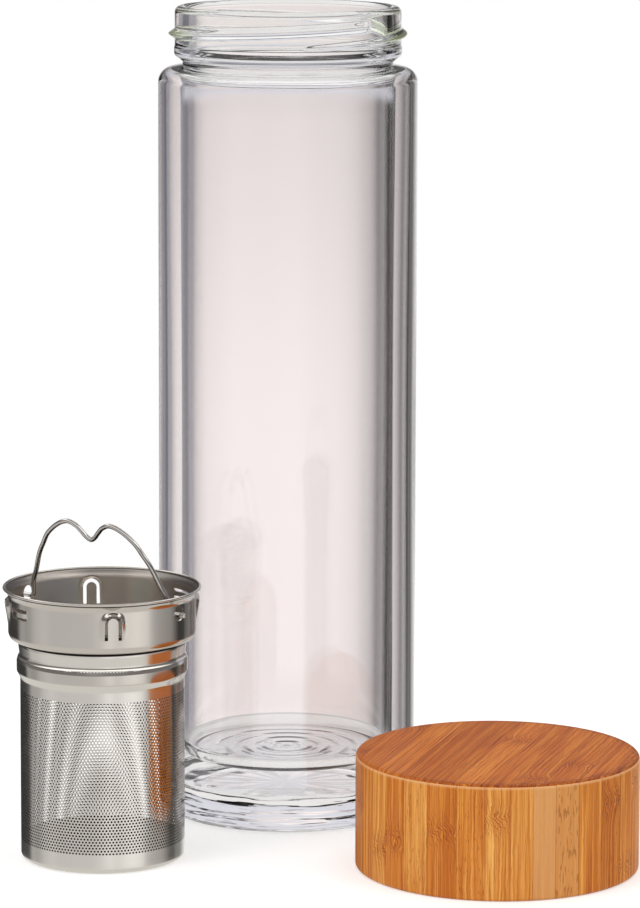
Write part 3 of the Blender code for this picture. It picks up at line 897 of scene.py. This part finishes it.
def makeCollar(steel, litNeckSteel, inside, shadow):
    foot, top = heightsOf("infuser_collar")
    shell = turned(collarOutline(top, foot), evenAngles(collar["columns"]), collarShape(top), closed=True)
    blank = bpy.data.objects.new("collarBlank", meshOf("collarBlank", [(*shell, False)], infuserAxis))
    cutters = collarCutters(top)
    inScene(blank)
    inScene(cutters)
    boolean = blank.modifiers.new("slots", "BOOLEAN")
    boolean.solver, boolean.object = "EXACT", cutters
    cut = smoothed(finalMesh(blank), sharpAngle=38)
    for item in (blank, cutters):
        bpy.data.objects.remove(item)
    cut.name = "infuserCollar"
    materials = [steel, litNeckSteel, inside, shadow]
    addPiece("infuserCollar", cut, "infuser", materials, ("infuser_collar",))
    # The neck below the shoulder takes the lighter copy of the steel, painted light; the wall inside takes
    # the steel with painted reflections; the crevice under the shoulder and a band under the bead take
    # near-black steel, painted shade
    shoulderEdge = collar["radius"] - collar["shoulderStep"] - collar["play"]
    neckTop = top - collar["straight"] - collar["shoulder"]
    beadFoot = top - 2 * collar["bead"]
    for face in cut.polygons:
        away, z = (face.center - infuserAxis).xy, face.center.z
        if away.dot(face.normal.xy) < -0.3 * away.length:
            face.material_index = 2 if z < top - collar["bead"] else 0
            continue
        # Painted shade: near-black steel in the crevice under the shoulder and just under the bead
        crevice = neckTop - collar["creviceShadeBand"] < z < neckTop + collar["sheet"] and away.length < shoulderEdge
        underBead = beadFoot - collar["beadShadeBand"] < z < beadFoot
        # Below the shoulder the neck takes the lighter copy of the steel: painted light
        face.material_index = 3 if crevice or underBead else int(z < neckTop)


paintedReflectionLook = dict(
    roughness=0.4,
    wall=rgb(0.84, 0.76, 0.68),
    flare=rgb(0.36, 0.33, 0.30),
    flareStart=0.5 * mm,
    flareShare=0.6,
    bright=rgb(1.6, 1.6, 1.6),
    dark=rgb(0.50, 0.50, 0.52),
    # Where a tone rises and falls, or where it rises, as shares of the rim's radius to the right
    leftBright=((-0.85, -0.62), (-0.15, -0.40)),
    rightBright=((0.15, 0.32), (0.58, 0.42)),
    rightDark=(0.45, 0.75),
    leftDark=(-0.70, -0.90),
)


def hazyPaintedReflectionSteel():
    # The collar's inside, duller than its outside, with painted reflections in its colour and painted shade
    # darker up in the flare
    looks = paintedReflectionLook
    material, tree, shader = newMaterial("hazyPaintedReflectionSteel", Metallic=1.0, Roughness=looks["roughness"])
    x, z = pointFrom(tree, infuserAxis).xyz()[::2]
    across, top, flare = x / collar["rim"], heightsOf("infuser_collar")[1], collar["flare"]
    flared = z.rise(top - flare - looks["flareStart"], top - flare * looks["flareShare"])
    colour = flared.mixed(looks["wall"], looks["flare"])

    def stretch(ends):
        return across.rise(*ends[0]) * across.rise(*ends[1])

    # Painted reflections: lighter on both sides of the middle, and painted shade towards the right and the
    # left end
    bright = stretch(looks["leftBright"]) + stretch(looks["rightBright"]) * 0.6
    colour = (bright * 0.9).mixed(colour, looks["bright"], "MULTIPLY")
    dark = across.rise(*looks["rightDark"]) + across.rise(*looks["leftDark"]) * 0.7
    feed(shader, "Base Color", dark.mixed(colour, looks["dark"], "MULTIPLY"))
    return material


tube = dict(
    sides=300,
    sheet=0.4 * mm,
    band=20.8 * mm,
    bandHeight=2.5 * mm,
    bandRamp=0.8 * mm,
    radius=19.95 * mm,
    ramp=1.7 * mm,
    lipRise=0.2 * mm,
    lipFace=0.02 * mm,
    foot=0.05 * mm,
    footRound=1.7 * mm,
    footTurn=2.6 * mm,
    rowLength=1.2 * mm,
    bendRow=0.15 * mm,
)

holes = dict(
    columns=153,
    rows=52,
    foot=4.8 * mm,
    top=41.9 * mm,
    radius=0.28 * mm,
    sheet=0.22 * mm,
    sides=6,
    mergeDistance=0.004 * mm,
)

pan = dict(gap=0.15 * mm, lift=0.5 * mm)


def sheetShell(corners, sizes):
    # Rolled sheet with its outside along the corners
    outside = filleted(corners, stepLength=sizes["bendRow"])
    inside = []
    for i, (r, z) in enumerate(outside):
        before, after = outside[max(i - 1, 0)], outside[min(i + 1, len(outside) - 1)]
        along = (Vector(after) - Vector(before)).normalized()
        inside.append((r + along.y * sizes["sheet"], z - along.x * sizes["sheet"]))
    outline = divided(outside + inside[::-1], sizes["rowLength"], closed=True)
    return (*turned(outline, evenAngles(sizes["sides"]), closed=True), False)


def makeTubeBands(steel, bandSteel, shadedInside):
    sizes, ramp = tube, tube["bandRamp"]
    lip = heightsOf("infuser_tube")[1] + sizes["lipRise"] - collar["seamDrop"]
    bandTop = lip - ramp
    bandFoot = bandTop - sizes["bandHeight"]
    upper = [
        (collar["waist"] - collar["neckTaper"] + collar["neckFlare"], lip, 0),
        (sizes["band"], bandTop, ramp),
        (sizes["band"], bandFoot, ramp),
        (sizes["radius"], bandFoot - sizes["ramp"], ramp),
        (sizes["radius"], holes["top"], 0),
    ]
    lower = [
        (sizes["radius"], holes["foot"], 0),
        (sizes["radius"], sizes["foot"], sizes["footRound"]),
        (sizes["radius"] - sizes["footTurn"], sizes["foot"], 0),
    ]
    shells = [sheetShell(corners, sizes) for corners in (upper, lower)]
    mesh = meshOf("tubeBands", shells, infuserAxis)
    addPiece("tubeBands", mesh, "infuser", [steel, bandSteel, shadedInside], ("infuser_tube",))
    for face in mesh.polygons:
        away, z = (face.center - infuserAxis).xy, face.center.z
        # Inward faces and the lip's top take the near-black steel: painted shade
        paintedShadeFaces = away.dot(face.normal.xy) < 0 or z > lip - sizes["lipFace"]
        # The band keeps the plain sheet steel; the rest of the outside takes the lighter copy, painted
        # light
        face.material_index = 2 if paintedShadeFaces else int(bandFoot < z < bandTop)


def treeWith(name, inputs):
    # An empty Geometry Nodes tree with named inputs
    tree = bpy.data.node_groups.new(name, "GeometryNodeTree")
    tree.interface.new_socket("Geometry", in_out="OUTPUT", socket_type="NodeSocketGeometry")
    kinds = {int: "NodeSocketInt", float: "NodeSocketFloat", bpy.types.Material: "NodeSocketMaterial"}
    for label, value in inputs.items():
        tree.interface.new_socket(label, in_out="INPUT", socket_type=kinds[type(value)])
    source = tree.nodes.new("NodeGroupInput")
    return Signal(tree), {label: Signal(tree, source.outputs[label]) for label in inputs}


def treeOf(geometry):
    # The tree that ends in this geometry
    tree = geometry.tree
    tree.links.new(geometry.socket, tree.nodes.new("NodeGroupOutput").inputs[0])
    return tree


def grown(name, tree, inputs, place, sharpAngle):
    # Runs a Geometry Nodes tree on an empty mesh and gives its result as a plain mesh
    carrier = inScene(bpy.data.objects.new(name, bpy.data.meshes.new(name)))
    modifier = carrier.modifiers.new(name, "NODES")
    modifier.node_group = tree
    for item in tree.interface.items_tree:
        if item.in_out == "INPUT":
            modifier[item.identifier] = inputs[item.name]
    mesh = finalMesh(carrier)
    bpy.data.objects.remove(carrier)
    mesh.transform(Matrix.Translation(place))
    return smoothed(mesh, sharpAngle)


def joinedGeometry(first, second):
    # A join node takes both in one socket
    whole = first.node("GeometryNodeJoinGeometry", None, {0: first})
    whole.tree.links.new(second.socket, whole.socket.node.inputs[0])
    return whole


def flatRing(sheet, count, narrow, wide, material, depth=0.0, flipped=False):
    sockets = {"Vertices": count, "Side Segments": 1}
    sockets |= {"Radius Top": narrow, "Radius Bottom": wide, "Depth": depth}
    ring = sheet.node("GeometryNodeMeshCone", {"fill_type": "NONE"}, sockets)
    if flipped:
        ring = sheet.node("GeometryNodeFlipFaces", None, {0: ring})
    return sheet.node("GeometryNodeSetMaterial", None, {"Geometry": ring, "Material": material})


def lifted(geometry, height):
    sockets = {"Geometry": geometry, "Translation": geometry.joined(0.0, 0.0, height)}
    return geometry.node("GeometryNodeTransform", None, sockets)


def perforatedTree(inputs):
    # A staggered field of six-sided cells, each with its hole, wrapped round the tube
    sheet, given = treeWith("perforatedSheet", inputs)
    radius, columns, rows = given["Radius"], given["Columns"], given["Rows"]
    foot, height, thickness = given["Foot"], given["Height"], given["Sheet"]
    pitch = radius * math.tau / columns
    corner = pitch / math.sqrt(3)
    rowStep = (height - corner) / (rows - 1)

    skin = flatRing(sheet, holes["sides"], given["Hole"], corner, given["Outside"])
    back = flatRing(sheet, holes["sides"], given["Hole"], corner, given["Inside"], thickness, flipped=True)
    cell = joinedGeometry(skin, lifted(back, thickness * -1))
    sockets = {"Geometry": cell, "Rotation": (0, 0, math.pi / holes["sides"])}
    cell = sheet.node("GeometryNodeTransform", None, sockets)

    sockets = {"Size X": (columns - 1) * pitch, "Size Y": (rows - 1) * rowStep}
    sockets |= {"Vertices X": columns, "Vertices Y": rows}
    grid = sheet.node("GeometryNodeMeshGrid", None, sockets)
    x, y, z = sheet.node("GeometryNodeInputPosition").xyz()
    row = sheet.math("ROUND", y / rowStep + (rows - 1) / 2)
    odd = sheet.math("FLOORED_MODULO", row, 2.0)
    shift = sheet.joined(odd * pitch / 2, 0.0, 0.0)
    grid = sheet.node("GeometryNodeSetPosition", None, {"Geometry": grid, "Offset": shift})
    cells = sheet.node("GeometryNodeInstanceOnPoints", None, {"Points": grid, "Instance": cell})
    cells = sheet.node("GeometryNodeRealizeInstances", None, {0: cells})

    half = height / 2
    level = sheet.math("MINIMUM", sheet.math("MAXIMUM", y, half * -1), half) + half + foot
    turn, reach = x / radius, radius + z
    wrapped = sheet.joined(reach * sheet.math("COSINE", turn), reach * sheet.math("SINE", turn), level)
    cells = sheet.node("GeometryNodeSetPosition", None, {"Geometry": cells, "Position": wrapped})

    # Rims close the sheet at its top and foot
    rims = [(foot + height, False), (foot, True)]
    for level, flipped in rims:
        ring = flatRing(sheet, columns * 2, radius - thickness, radius, given["Outside"], flipped=flipped)
        cells = joinedGeometry(cells, lifted(ring, level))
    sockets = {"Geometry": cells, "Distance": holes["mergeDistance"]}
    return treeOf(sheet.node("GeometryNodeMergeByDistance", None, sockets))


def makePerforatedSheet(steel, shadedInside):
    inputs = {
        "Radius": tube["radius"],
        "Columns": holes["columns"],
        "Rows": holes["rows"],
        "Foot": holes["foot"],
        "Height": holes["top"] - holes["foot"],
        "Hole": holes["radius"],
        "Sheet": holes["sheet"],
        # The sheet's inside is near-black steel: painted shade
        "Outside": steel,
        "Inside": shadedInside,
    }
    mesh = grown("perforatedSheet", perforatedTree(inputs), inputs, infuserAxis, sharpAngle=40)
    addPiece("perforatedSheet", mesh, "infuser", None, ("infuser_tube",))


def makePan(steel):
    radius = radiusOf("infuser_floor") - pan["gap"]
    high, lift = heightsOf("infuser_floor")[1], pan["lift"]
    sheet, rounding = tube["sheet"], tube["footRound"]
    corners = [
        (0, lift + sheet, 0),
        (radius - sheet, lift + sheet, rounding - sheet),
        (radius - sheet, high, 0),
        (radius, high, 0),
        (radius, lift, rounding),
        (0, lift, 0),
    ]
    outline = divided(filleted(corners), tube["rowLength"])
    mesh = turnedMesh("infuserPan", outline, tube["sides"], infuserAxis)
    addPiece("infuserPan", mesh, "infuser", [steel], ("infuser_floor",))


bail = dict(
    wire=1.2 * mm,
    sides=20,
    endLength=0.8,
    halfSpan=20.4 * mm,
    height=21.5 * mm,
    bend=1.0 * mm,
    tail=1.3 * mm,
    lean=14.8,
    # From the leg to the dip: across and up, as shares of half span and height
    shares=[
        (0.970, 0.200),
        (0.904, 0.335),
        (0.810, 0.553),
        (0.722, 0.692),
        (0.630, 0.822),
        (0.470, 0.945),
        (0.315, 1.000),
        (0.200, 0.965),
        (0.125, 0.900),
        (0.060, 0.833),
        (0.000, 0.803),
    ],
)


def bailRoute():
    # One half from the tail outside the collar to the dip, smoothed and then mirrored
    half = [(collar["radius"] + bail["tail"], 0)]
    for turn in quarter(8):
        across = bail["halfSpan"] + bail["bend"] * (1 - math.sin(turn))
        half.append((across, bail["bend"] * (1 - math.cos(turn))))
    guides = [half[-1]] + [(x * bail["halfSpan"], z * bail["height"]) for x, z in bail["shares"]]
    padded = [Vector(p) for p in [half[-2]] + guides + [(-guides[-2][0], guides[-2][1])]]
    for before, start, end, after in zip(padded, padded[1:], padded[2:], padded[3:]):
        for i in range(1, 9):
            t = i / 8
            bend = (2 * before - 5 * start + 4 * end - after) * t**2
            twist = (3 * start - before - 3 * end + after) * t**3
            half.append(tuple((2 * start + (end - before) * t + bend + twist) / 2))
    return [(-x, z) for x, z in half] + half[-2::-1]


def makeBail(steel):
    joint = next(j for j in frame["joints"] if j["name"] == "bail_swing")
    across = Vector(joint["axis"]).normalized()
    lean = Matrix.Rotation(math.radians(bail["lean"]), 4, "X")
    placed = Matrix.Rotation(math.atan2(across.y, across.x), 4, "Z") @ lean
    route = bailRoute()
    radius, sides = bail["wire"] / 2, bail["sides"]
    corners, faces = [], []

    def joinRings(first, second, direction=1):
        for k in range(sides):
            m = (k + 1) % sides
            faces.append((first[k], first[m], second[m], second[k])[::direction])

    for i, (x, z) in enumerate(route):
        before, after = route[max(i - 1, 0)], route[min(i + 1, len(route) - 1)]
        along = Vector((after[0] - before[0], 0, after[1] - before[1])).normalized()
        side = Vector((0, 1, 0))
        up = along.cross(side)
        for k in range(sides):
            angle = math.tau * k / sides
            corners.append(Vector((x, 0, z)) + (side * math.cos(angle) + up * math.sin(angle)) * radius)
    rings = [range(i * sides, (i + 1) * sides) for i in range(len(route))]
    for first, second in zip(rings, rings[1:]):
        joinRings(first, second)
    # Round ends, as sheared and tumbled wire has
    for root, x, direction in ((rings[0], route[0][0], -1), (rings[-1], route[-1][0], 1)):
        centre, ring = Vector((x, 0, 0)), root
        length = math.copysign(radius * bail["endLength"], x)
        for turn in quarter(4, first=1)[:-1]:
            outwards = Vector((length * math.sin(turn), 0, 0))
            nextRing = range(len(corners), len(corners) + sides)
            corners += [centre + (corners[i] - centre) * math.cos(turn) + outwards for i in root]
            joinRings(ring, nextRing, direction)
            ring = nextRing
        corners.append(centre + Vector((length, 0, 0)))
        tip = len(corners) - 1
        faces += [(ring[k], ring[(k + 1) % sides], tip)[::direction] for k in range(sides)]
    corners = [placed @ corner for corner in corners]
    mesh = meshOf("wireBail", [(corners, faces, False)], Vector(joint["pos_m"]))
    addPiece("wireBail", mesh, "bail", [steel], ("infuser_handle",))


made = {name: brushedSteel(name, *look) for name, look in steels.items()}
makeCollar(made["sheetSteel"], made["lighterLitSteel"], hazyPaintedReflectionSteel(), made["shadowSteel"])
makeTubeBands(made["lighterLitSteel"], made["sheetSteel"], made["shadedInsideSteel"])
makePerforatedSheet(made["lighterLitSteel"], made["shadedInsideSteel"])
# The pan takes the near-black steel: painted shade
makePan(made["shadedInsideSteel"])
makeBail(made["wireSteel"])
print("infuser made")


# Lid: laminated bamboo with a moulded liner and a seal

lid = dict(
    sides=288,
    wall=2.5 * mm,
    ceiling=22.2 * mm,
    edge=1.2 * mm,
    lowerEdge=0.9 * mm,
    rowLength=2.5 * mm,
    fineRow=0.12 * mm,
)

# The cane's fibres. Each kind has a width, a length, the noise's detail, its shift from strip to
# strip, and the level above which it shows.
cane = dict(
    coarse=(0.75 * mm, 40 * mm, 2.0, 1.3, (0.40, 0.62)),
    bright=(0.42 * mm, 30 * mm, 1.0, 7.7, (0.52, 0.66)),
    fine=(0.17 * mm, 22 * mm, 2.0, 3.1, (0.51, 0.65)),
    mark=(0.24 * mm, 2.6 * mm, 1.0, 5.7, (0.63, 0.70)),
    coarseTint=rgb(0.80, 0.63, 0.43),
    brightTint=rgb(1.22, 1.55, 2.0),
    markTint=rgb(0.60, 0.42, 0.30),
    swirlTint=rgb(0.58, 0.38, 0.25),
    glueTint=rgb(0.55, 0.38, 0.26),
    # Round a node, which only some strips have
    nodeChance=0.55,
    nodeHeight=3.3 * mm,
    nodeBend=5 * mm,
    slowBend=2.0 * mm,
    fray=0.2 * mm,
    frayBend=4 * mm,
    # The slow wave that all fibres follow
    slowWidth=2.2 * mm,
    slowLength=4 * mm,
    waver=0.6 * mm,
    relief=0.03 * mm,
)

lidSide = dict(
    strips=34,
    firstStrip=40.35,
    uneven=0.16,
    unevenTurns=5.0,
    unevenPhase=0.7,
    seed=3.0,
    tones=[
        (0.0, (0.88, 0.33, 0.050)),
        (0.2, (0.76, 0.25, 0.030)),
        (0.4, (0.96, 0.42, 0.085)),
        (0.6, (0.82, 0.28, 0.036)),
        (0.8, (0.92, 0.37, 0.068)),
    ],
    nodeRise=22 * mm,
    middle=14 * mm,
    paleStreaks=0.8,
    fibre=rgb(0.70, 0.48, 0.31),
    glue=0.035,
    # One paler strip near the front, and a dashed one beside it
    paleStrip=33,
    pale=rgb(0.86, 0.41, 0.14),
    dashed=rgb(0.84, 0.38, 0.11),
    dash=rgb(0.50, 0.17, 0.03),
    dashWidth=0.45 * mm,
    dashLength=3.2 * mm,
    arris=(1.4 * mm, 0.6 * mm),  # below the lid's top
    arrisHighlight=rgb(0.95, 0.50, 0.22),
)

lidTop = dict(
    strip=6.9 * mm,
    firstStrip=20.3,
    grain=73,
    seed=17.0,
    # Darker and redder than the side: partly the top board's own colour, partly painted shade
    tones=[
        (0.0, (0.66, 0.190, 0.020)),
        (0.25, (0.73, 0.225, 0.028)),
        (0.5, (0.61, 0.168, 0.016)),
        (0.7, (0.77, 0.245, 0.033)),
    ],
    nodeRise=52 * mm,
    paleStreaks=0.5,
    fibre=rgb(0.52, 0.33, 0.20),
    glue=0.03,
    pore=rgb(0.40, 0.24, 0.12),
    poreWidth=1.1 * mm,
    poreDepth=0.7 * mm,
    poreZone=(5 * mm, 0.8 * mm),  # in from the lid's outside
    poreSide=(-50 * mm, 5 * mm),
    rimPores=0.35,
)


def bambooColour(tree, across, along, position, looks):
    # Colour and relief of laminated strips, and the glue beside them. across and along run in
    # metres, and position counts the strips.
    strip, seed = tree.math("FLOOR", position), looks["seed"]

    def chance(factor, start):
        # A number for each strip
        settings = {"noise_dimensions": "1D"}
        return tree.node("ShaderNodeTexWhiteNoise", settings, {"W": strip * factor + start})

    def fibres(kind):
        width, length, detail, shift, shows = cane[kind]
        noise = tree.noise(tree.joined(bent / width, along / length, strip * shift), detail=detail)
        return noise, noise.rise(*shows)

    # A node of the cane crosses some strips, and the fibres swirl and fray round it
    fromNode = (along - (chance(1.7, seed + 9.3) - 0.5) * looks["nodeRise"]) / cane["nodeHeight"]
    swirl = tree.math("EXPONENT", fromNode * fromNode * -1) * (chance(2.3, seed + 4.1) > cane["nodeChance"])
    bend = (chance(2.9, seed + 6.6) - 0.5) * cane["nodeBend"]
    slow = tree.noise(tree.joined(across / cane["slowWidth"], along / cane["slowLength"], strip)) - 0.5
    bent = across + bend * swirl + slow * swirl * cane["slowBend"] + slow * cane["waver"]
    frayed = tree.math("SINE", (along * 0.6 + bent * 1.4 + slow * cane["frayBend"]) / cane["fray"])

    fine, fineShown = fibres("fine")
    coarse, coarseShown = fibres("coarse")
    marks = fibres("mark")[1] * (0.25 + 0.75 * chance(3.9, seed + 2.2).rise(0.5, 0.9))
    stops = {"stops": looks["tones"], "ramp": "CONSTANT"}
    colour = tree.node("ShaderNodeValToRGB", stops, {0: chance(1.0, seed)})
    for amount, tint in (
        (coarseShown, cane["coarseTint"]),
        (fibres("bright")[1] * looks["paleStreaks"], cane["brightTint"]),
        (fineShown * 0.9, looks["fibre"]),
        (marks * 0.8, cane["markTint"]),
        (swirl * frayed.rise(-0.2, 0.9) * 0.85, cane["swirlTint"]),
    ):
        colour = amount.mixed(colour, tint, "MULTIPLY")
    fromMiddle = tree.math("ABSOLUTE", tree.math("FRACT", position) - 0.5)
    glue = fromMiddle.rise(0.5 - looks["glue"], 0.5 - looks["glue"] / 3) * 0.5
    return colour, fine * 0.5 + coarse * 0.3 - marks * 0.8, glue


def bambooSide():
    looks = lidSide
    material, tree, shader = newMaterial("bambooSide", IOR=1.46, Specular_IOR_Level=0.4)
    x, y, z = pointFrom(tree, lidAxis).xyz()
    turn = tree.math("ARCTAN2", y, x)
    around = turn * radiusOf("bamboo_lid")
    uneven = tree.math("SINE", turn * looks["unevenTurns"] + looks["unevenPhase"]) * looks["uneven"]
    position = turn * (looks["strips"] / math.tau) + uneven + looks["firstStrip"]
    colour, relief, glue = bambooColour(tree, around, z - looks["middle"], position, looks)
    strip = tree.math("FLOOR", position)
    pale = tree.math("COMPARE", strip, looks["paleStrip"], 0.5)
    colour = (pale * 0.8).mixed(colour, looks["pale"])
    dashed = tree.math("COMPARE", strip, looks["paleStrip"] + 1, 0.5)
    dashes = tree.noise(tree.joined(around / looks["dashWidth"], z / looks["dashLength"], 0.0), detail=1.0)
    colour = (dashed * 0.7).mixed(colour, looks["dashed"])
    colour = (dashed * dashes.rise(0.58, 0.64) * 0.8).mixed(colour, looks["dash"])
    # Painted highlight: the turned edge is lighter
    arris = z.rise(*(heightsOf("bamboo_lid")[1] - drop for drop in looks["arris"]))
    colour = (arris * 0.8).mixed(colour, looks["arrisHighlight"])
    feed(shader, "Base Color", glue.mixed(colour, cane["glueTint"], "MULTIPLY"))
    feed(shader, "Roughness", 0.40 + relief * 0.10)
    feedBump(shader, relief - glue * 0.5, cane["relief"])
    return material


def bambooTop():
    looks = lidTop
    material, tree, shader = newMaterial("bambooTop", IOR=1.46, Specular_IOR_Level=0.3)
    point = pointFrom(tree, lidAxis)
    alongGrain = {0: point, 2: (0, 0, math.radians(90 - looks["grain"]))}
    x, y = tree.node("ShaderNodeMapping", None, alongGrain).xyz()[:2]
    position = x / looks["strip"] + looks["firstStrip"]
    colour, relief, glue = bambooColour(tree, x, y, position, looks)
    colour = glue.mixed(colour, cane["glueTint"], "MULTIPLY")
    # Open pores along the turned edge, where the strips' ends are cut
    px, py = point.xyz()[:2]
    reach = tree.math("SQRT", px * px + py * py)
    zone = reach.rise(*(radiusOf("bamboo_lid") - depth for depth in looks["poreZone"]))
    rim = zone * x.rise(*looks["poreSide"])
    around = tree.math("ARCTAN2", py, px) * reach
    pores = tree.noise(tree.joined(around / looks["poreWidth"], reach / looks["poreDepth"], 0.0))
    pores = (pores + rim * looks["rimPores"]).rise(0.74, 0.82) * rim
    feed(shader, "Base Color", (pores * 0.6).mixed(colour, looks["pore"], "MULTIPLY"))
    feed(shader, "Roughness", 0.44 + relief * 0.10)
    feedBump(shader, relief - glue * 0.5 - pores * 0.6, cane["relief"])
    return material


def makeBambooLid(side, top):
    low, high = heightsOf("bamboo_lid")
    radius, ceiling = radiusOf("bamboo_lid"), lid["ceiling"]
    bore = radius - lid["wall"]
    corners = [
        (0, high, 0),
        (radius, high, lid["edge"]),
        (radius, low, lid["lowerEdge"]),
        (bore, low, lid["lowerEdge"] / 2),
        (bore, ceiling, 0),
        (0, ceiling, 0),
    ]
    outline = divided(filleted(corners, stepLength=lid["fineRow"]), lid["rowLength"])
    mesh = turnedMesh("bambooLid", outline, lid["sides"], lidAxis)
    addPiece("bambooLid", mesh, "lid", [side, top], ("bamboo_lid",))
    for face in mesh.polygons:
        facesUp = abs(face.normal.z) > 0.55
        face.material_index = int(facesUp and face.center.z > ceiling - mm)


liner = dict(
    sides=240,
    wall=1.1 * mm,
    recess=0.5 * mm,
    outerEdge=0.2 * mm,
    innerEdge=0.3 * mm,
    sealHeight=2.0 * mm,
    sealFace=14.4 * mm,
    carrier=3.7 * mm,
    fitGap=0.3 * mm,
    rowLength=2 * mm,
    ridgeStarts=2,
    ridgeHeight=0.75 * mm,
    ridgeWidth=1.9 * mm,
    ridgeLead=8.2 * mm,
    ridgeTurns=0.62,
    ridgeFoot=3.0 * mm,
    ridgeSteps=120,
    ridgeSides=12,
    ridgeEnd=0.12,
    ridgeTip=0.08,
)

seal = dict(
    sides=200,
    bore=24.3 * mm,
    edge=0.4 * mm,
    groove=0.35 * mm,
    grooveTop=1.2 * mm,
    grooveFloor=0.6 * mm,
    grooveEdge=0.2 * mm,
)


def ridgeTree(inputs):
    # A moulded ridge along a helix, thinner towards its ends, once for each start
    sheet, given = treeWith("linerThread", inputs)
    sockets = {"Resolution": liner["ridgeSteps"], "Rotations": given["Turns"], "Height": given["Rise"]}
    sockets |= {"Start Radius": given["Radius"], "End Radius": given["Radius"]}
    helix = sheet.node("GeometryNodeCurveSpiral", None, sockets)
    share, end, tip = sheet.node("GeometryNodeSplineParameter"), liner["ridgeEnd"], liner["ridgeTip"]
    fade = share.rise(0.0, end) * share.rise(1.0, 1 - end) * (1 - tip) + tip
    sockets = {"Resolution": liner["ridgeSides"], "Radius": given["Ridge"]}
    profile = sheet.node("GeometryNodeCurvePrimitiveCircle", None, sockets)
    sockets = {"Curve": helix, "Profile Curve": profile, "Scale": fade, "Fill Caps": True}
    ridge = sheet.node("GeometryNodeCurveToMesh", None, sockets)
    starts = sheet.node("GeometryNodeMeshLine", None, {"Count": given["Starts"], "Offset": (0, 0, 0)})
    turn = sheet.node("GeometryNodeInputIndex") * math.tau / given["Starts"]
    sockets = {"Points": starts, "Instance": ridge, "Rotation": sheet.joined(0.0, 0.0, turn)}
    ridges = sheet.node("GeometryNodeInstanceOnPoints", None, sockets)
    ridges = sheet.node("GeometryNodeRealizeInstances", None, {0: ridges})
    sockets = {"Geometry": ridges, "Material": given["Material"]}
    return treeOf(sheet.node("GeometryNodeSetMaterial", None, sockets))


def makeLiner(plastic):
    sizes = liner
    high = heightsOf("lid_insert")[1]
    radius = radiusOf("lid_insert")
    bore = radius - sizes["wall"]
    sealBore = seal["bore"] + (radiusOf("lid_seal") + sizes["fitGap"] - bore)
    carrier = sizes["sealFace"] + sizes["sealHeight"] + sizes["fitGap"]
    ceiling = carrier + sizes["carrier"]
    corners = [
        (0, high, 0),
        (radius, high, sizes["wall"] / 2),
        (radius, sizes["recess"], sizes["outerEdge"]),
        (bore, sizes["recess"], sizes["innerEdge"]),
        (bore, carrier, sizes["outerEdge"]),
        (sealBore, carrier, sizes["innerEdge"]),
        (sealBore, ceiling, sizes["wall"] / 2),
        (0, ceiling, 0),
    ]
    outline = divided(filleted(corners, stepLength=lid["fineRow"]), sizes["rowLength"])
    mesh = turnedMesh("lidLiner", outline, sizes["sides"], lidAxis)
    addPiece("lidLiner", mesh, "lid", [plastic], ("lid_insert",))
    inputs = {
        "Turns": sizes["ridgeTurns"],
        "Radius": bore + sizes["ridgeWidth"] / 2 - sizes["ridgeHeight"],
        "Rise": sizes["ridgeLead"] * sizes["ridgeTurns"],
        "Ridge": sizes["ridgeWidth"] / 2,
        "Starts": sizes["ridgeStarts"],
        "Material": plastic,
    }
    place = lidAxis + Vector((0, 0, sizes["ridgeFoot"]))
    ridges = grown("linerThread", ridgeTree(inputs), inputs, place, sharpAngle=50)
    addPiece("linerThread", ridges, "lid", [plastic])


def makeSeal(silicone):
    low, high = heightsOf("lid_seal")
    radius, bore, edge = radiusOf("lid_seal"), seal["bore"], seal["edge"]
    middle, turn = (radius + bore) / 2, seal["grooveEdge"]
    corners = [
        (radius, low, edge),
        (radius, high, edge),
        (bore, high, edge),
        (bore, low, edge),
        (middle - seal["grooveTop"], low, turn),
        (middle - seal["grooveFloor"], low + seal["groove"], turn),
        (middle + seal["grooveFloor"], low + seal["groove"], turn),
        (middle + seal["grooveTop"], low, turn),
    ]
    outline = filleted(corners, closed=True, stepLength=lid["fineRow"])
    mesh = turnedMesh("lidSeal", outline, seal["sides"], lidAxis, closed=True)
    addPiece("lidSeal", mesh, "lid", [silicone], ("lid_seal",))


def moulded(name, roughness, grainScale, grainShare, **constants):
    # Plastic or rubber with the fine grain of its mould
    material, tree, shader = newMaterial(name, **constants)
    grain = tree.noise(pointFrom(tree, lidAxis), grainScale)
    feed(shader, "Roughness", roughness + grain * grainShare)
    feedBump(shader, grain, 0.01 * mm)
    return material, tree, shader


def mouldedPlastic():
    grain = dict(roughness=0.30, grainScale=2500.0, grainShare=0.12)
    material, tree, shader = moulded("linerPlastic", **grain, Base_Color=rgb(0.84, 0.83, 0.79), IOR=1.49)
    cloud = tree.noise(pointFrom(tree, lidAxis), 60.0)
    feed(shader, "Base Color", cloud.mixed(rgb(0.86, 0.85, 0.81), rgb(0.80, 0.79, 0.75)))
    return material


def sealSilicone():
    constants = dict(
        Base_Color=rgb(0.80, 0.79, 0.76),
        IOR=1.41,
        Subsurface_Weight=0.25,
        Subsurface_Radius=(0.8 * mm, 0.7 * mm, 0.6 * mm),
        Subsurface_Scale=1.0,
    )
    grain = dict(roughness=0.48, grainScale=1800.0, grainShare=0.15)
    return moulded("sealSilicone", **grain, **constants)[0]


makeBambooLid(bambooSide(), bambooTop())
makeLiner(mouldedPlastic())
makeSeal(sealSilicone())
print("lid made")
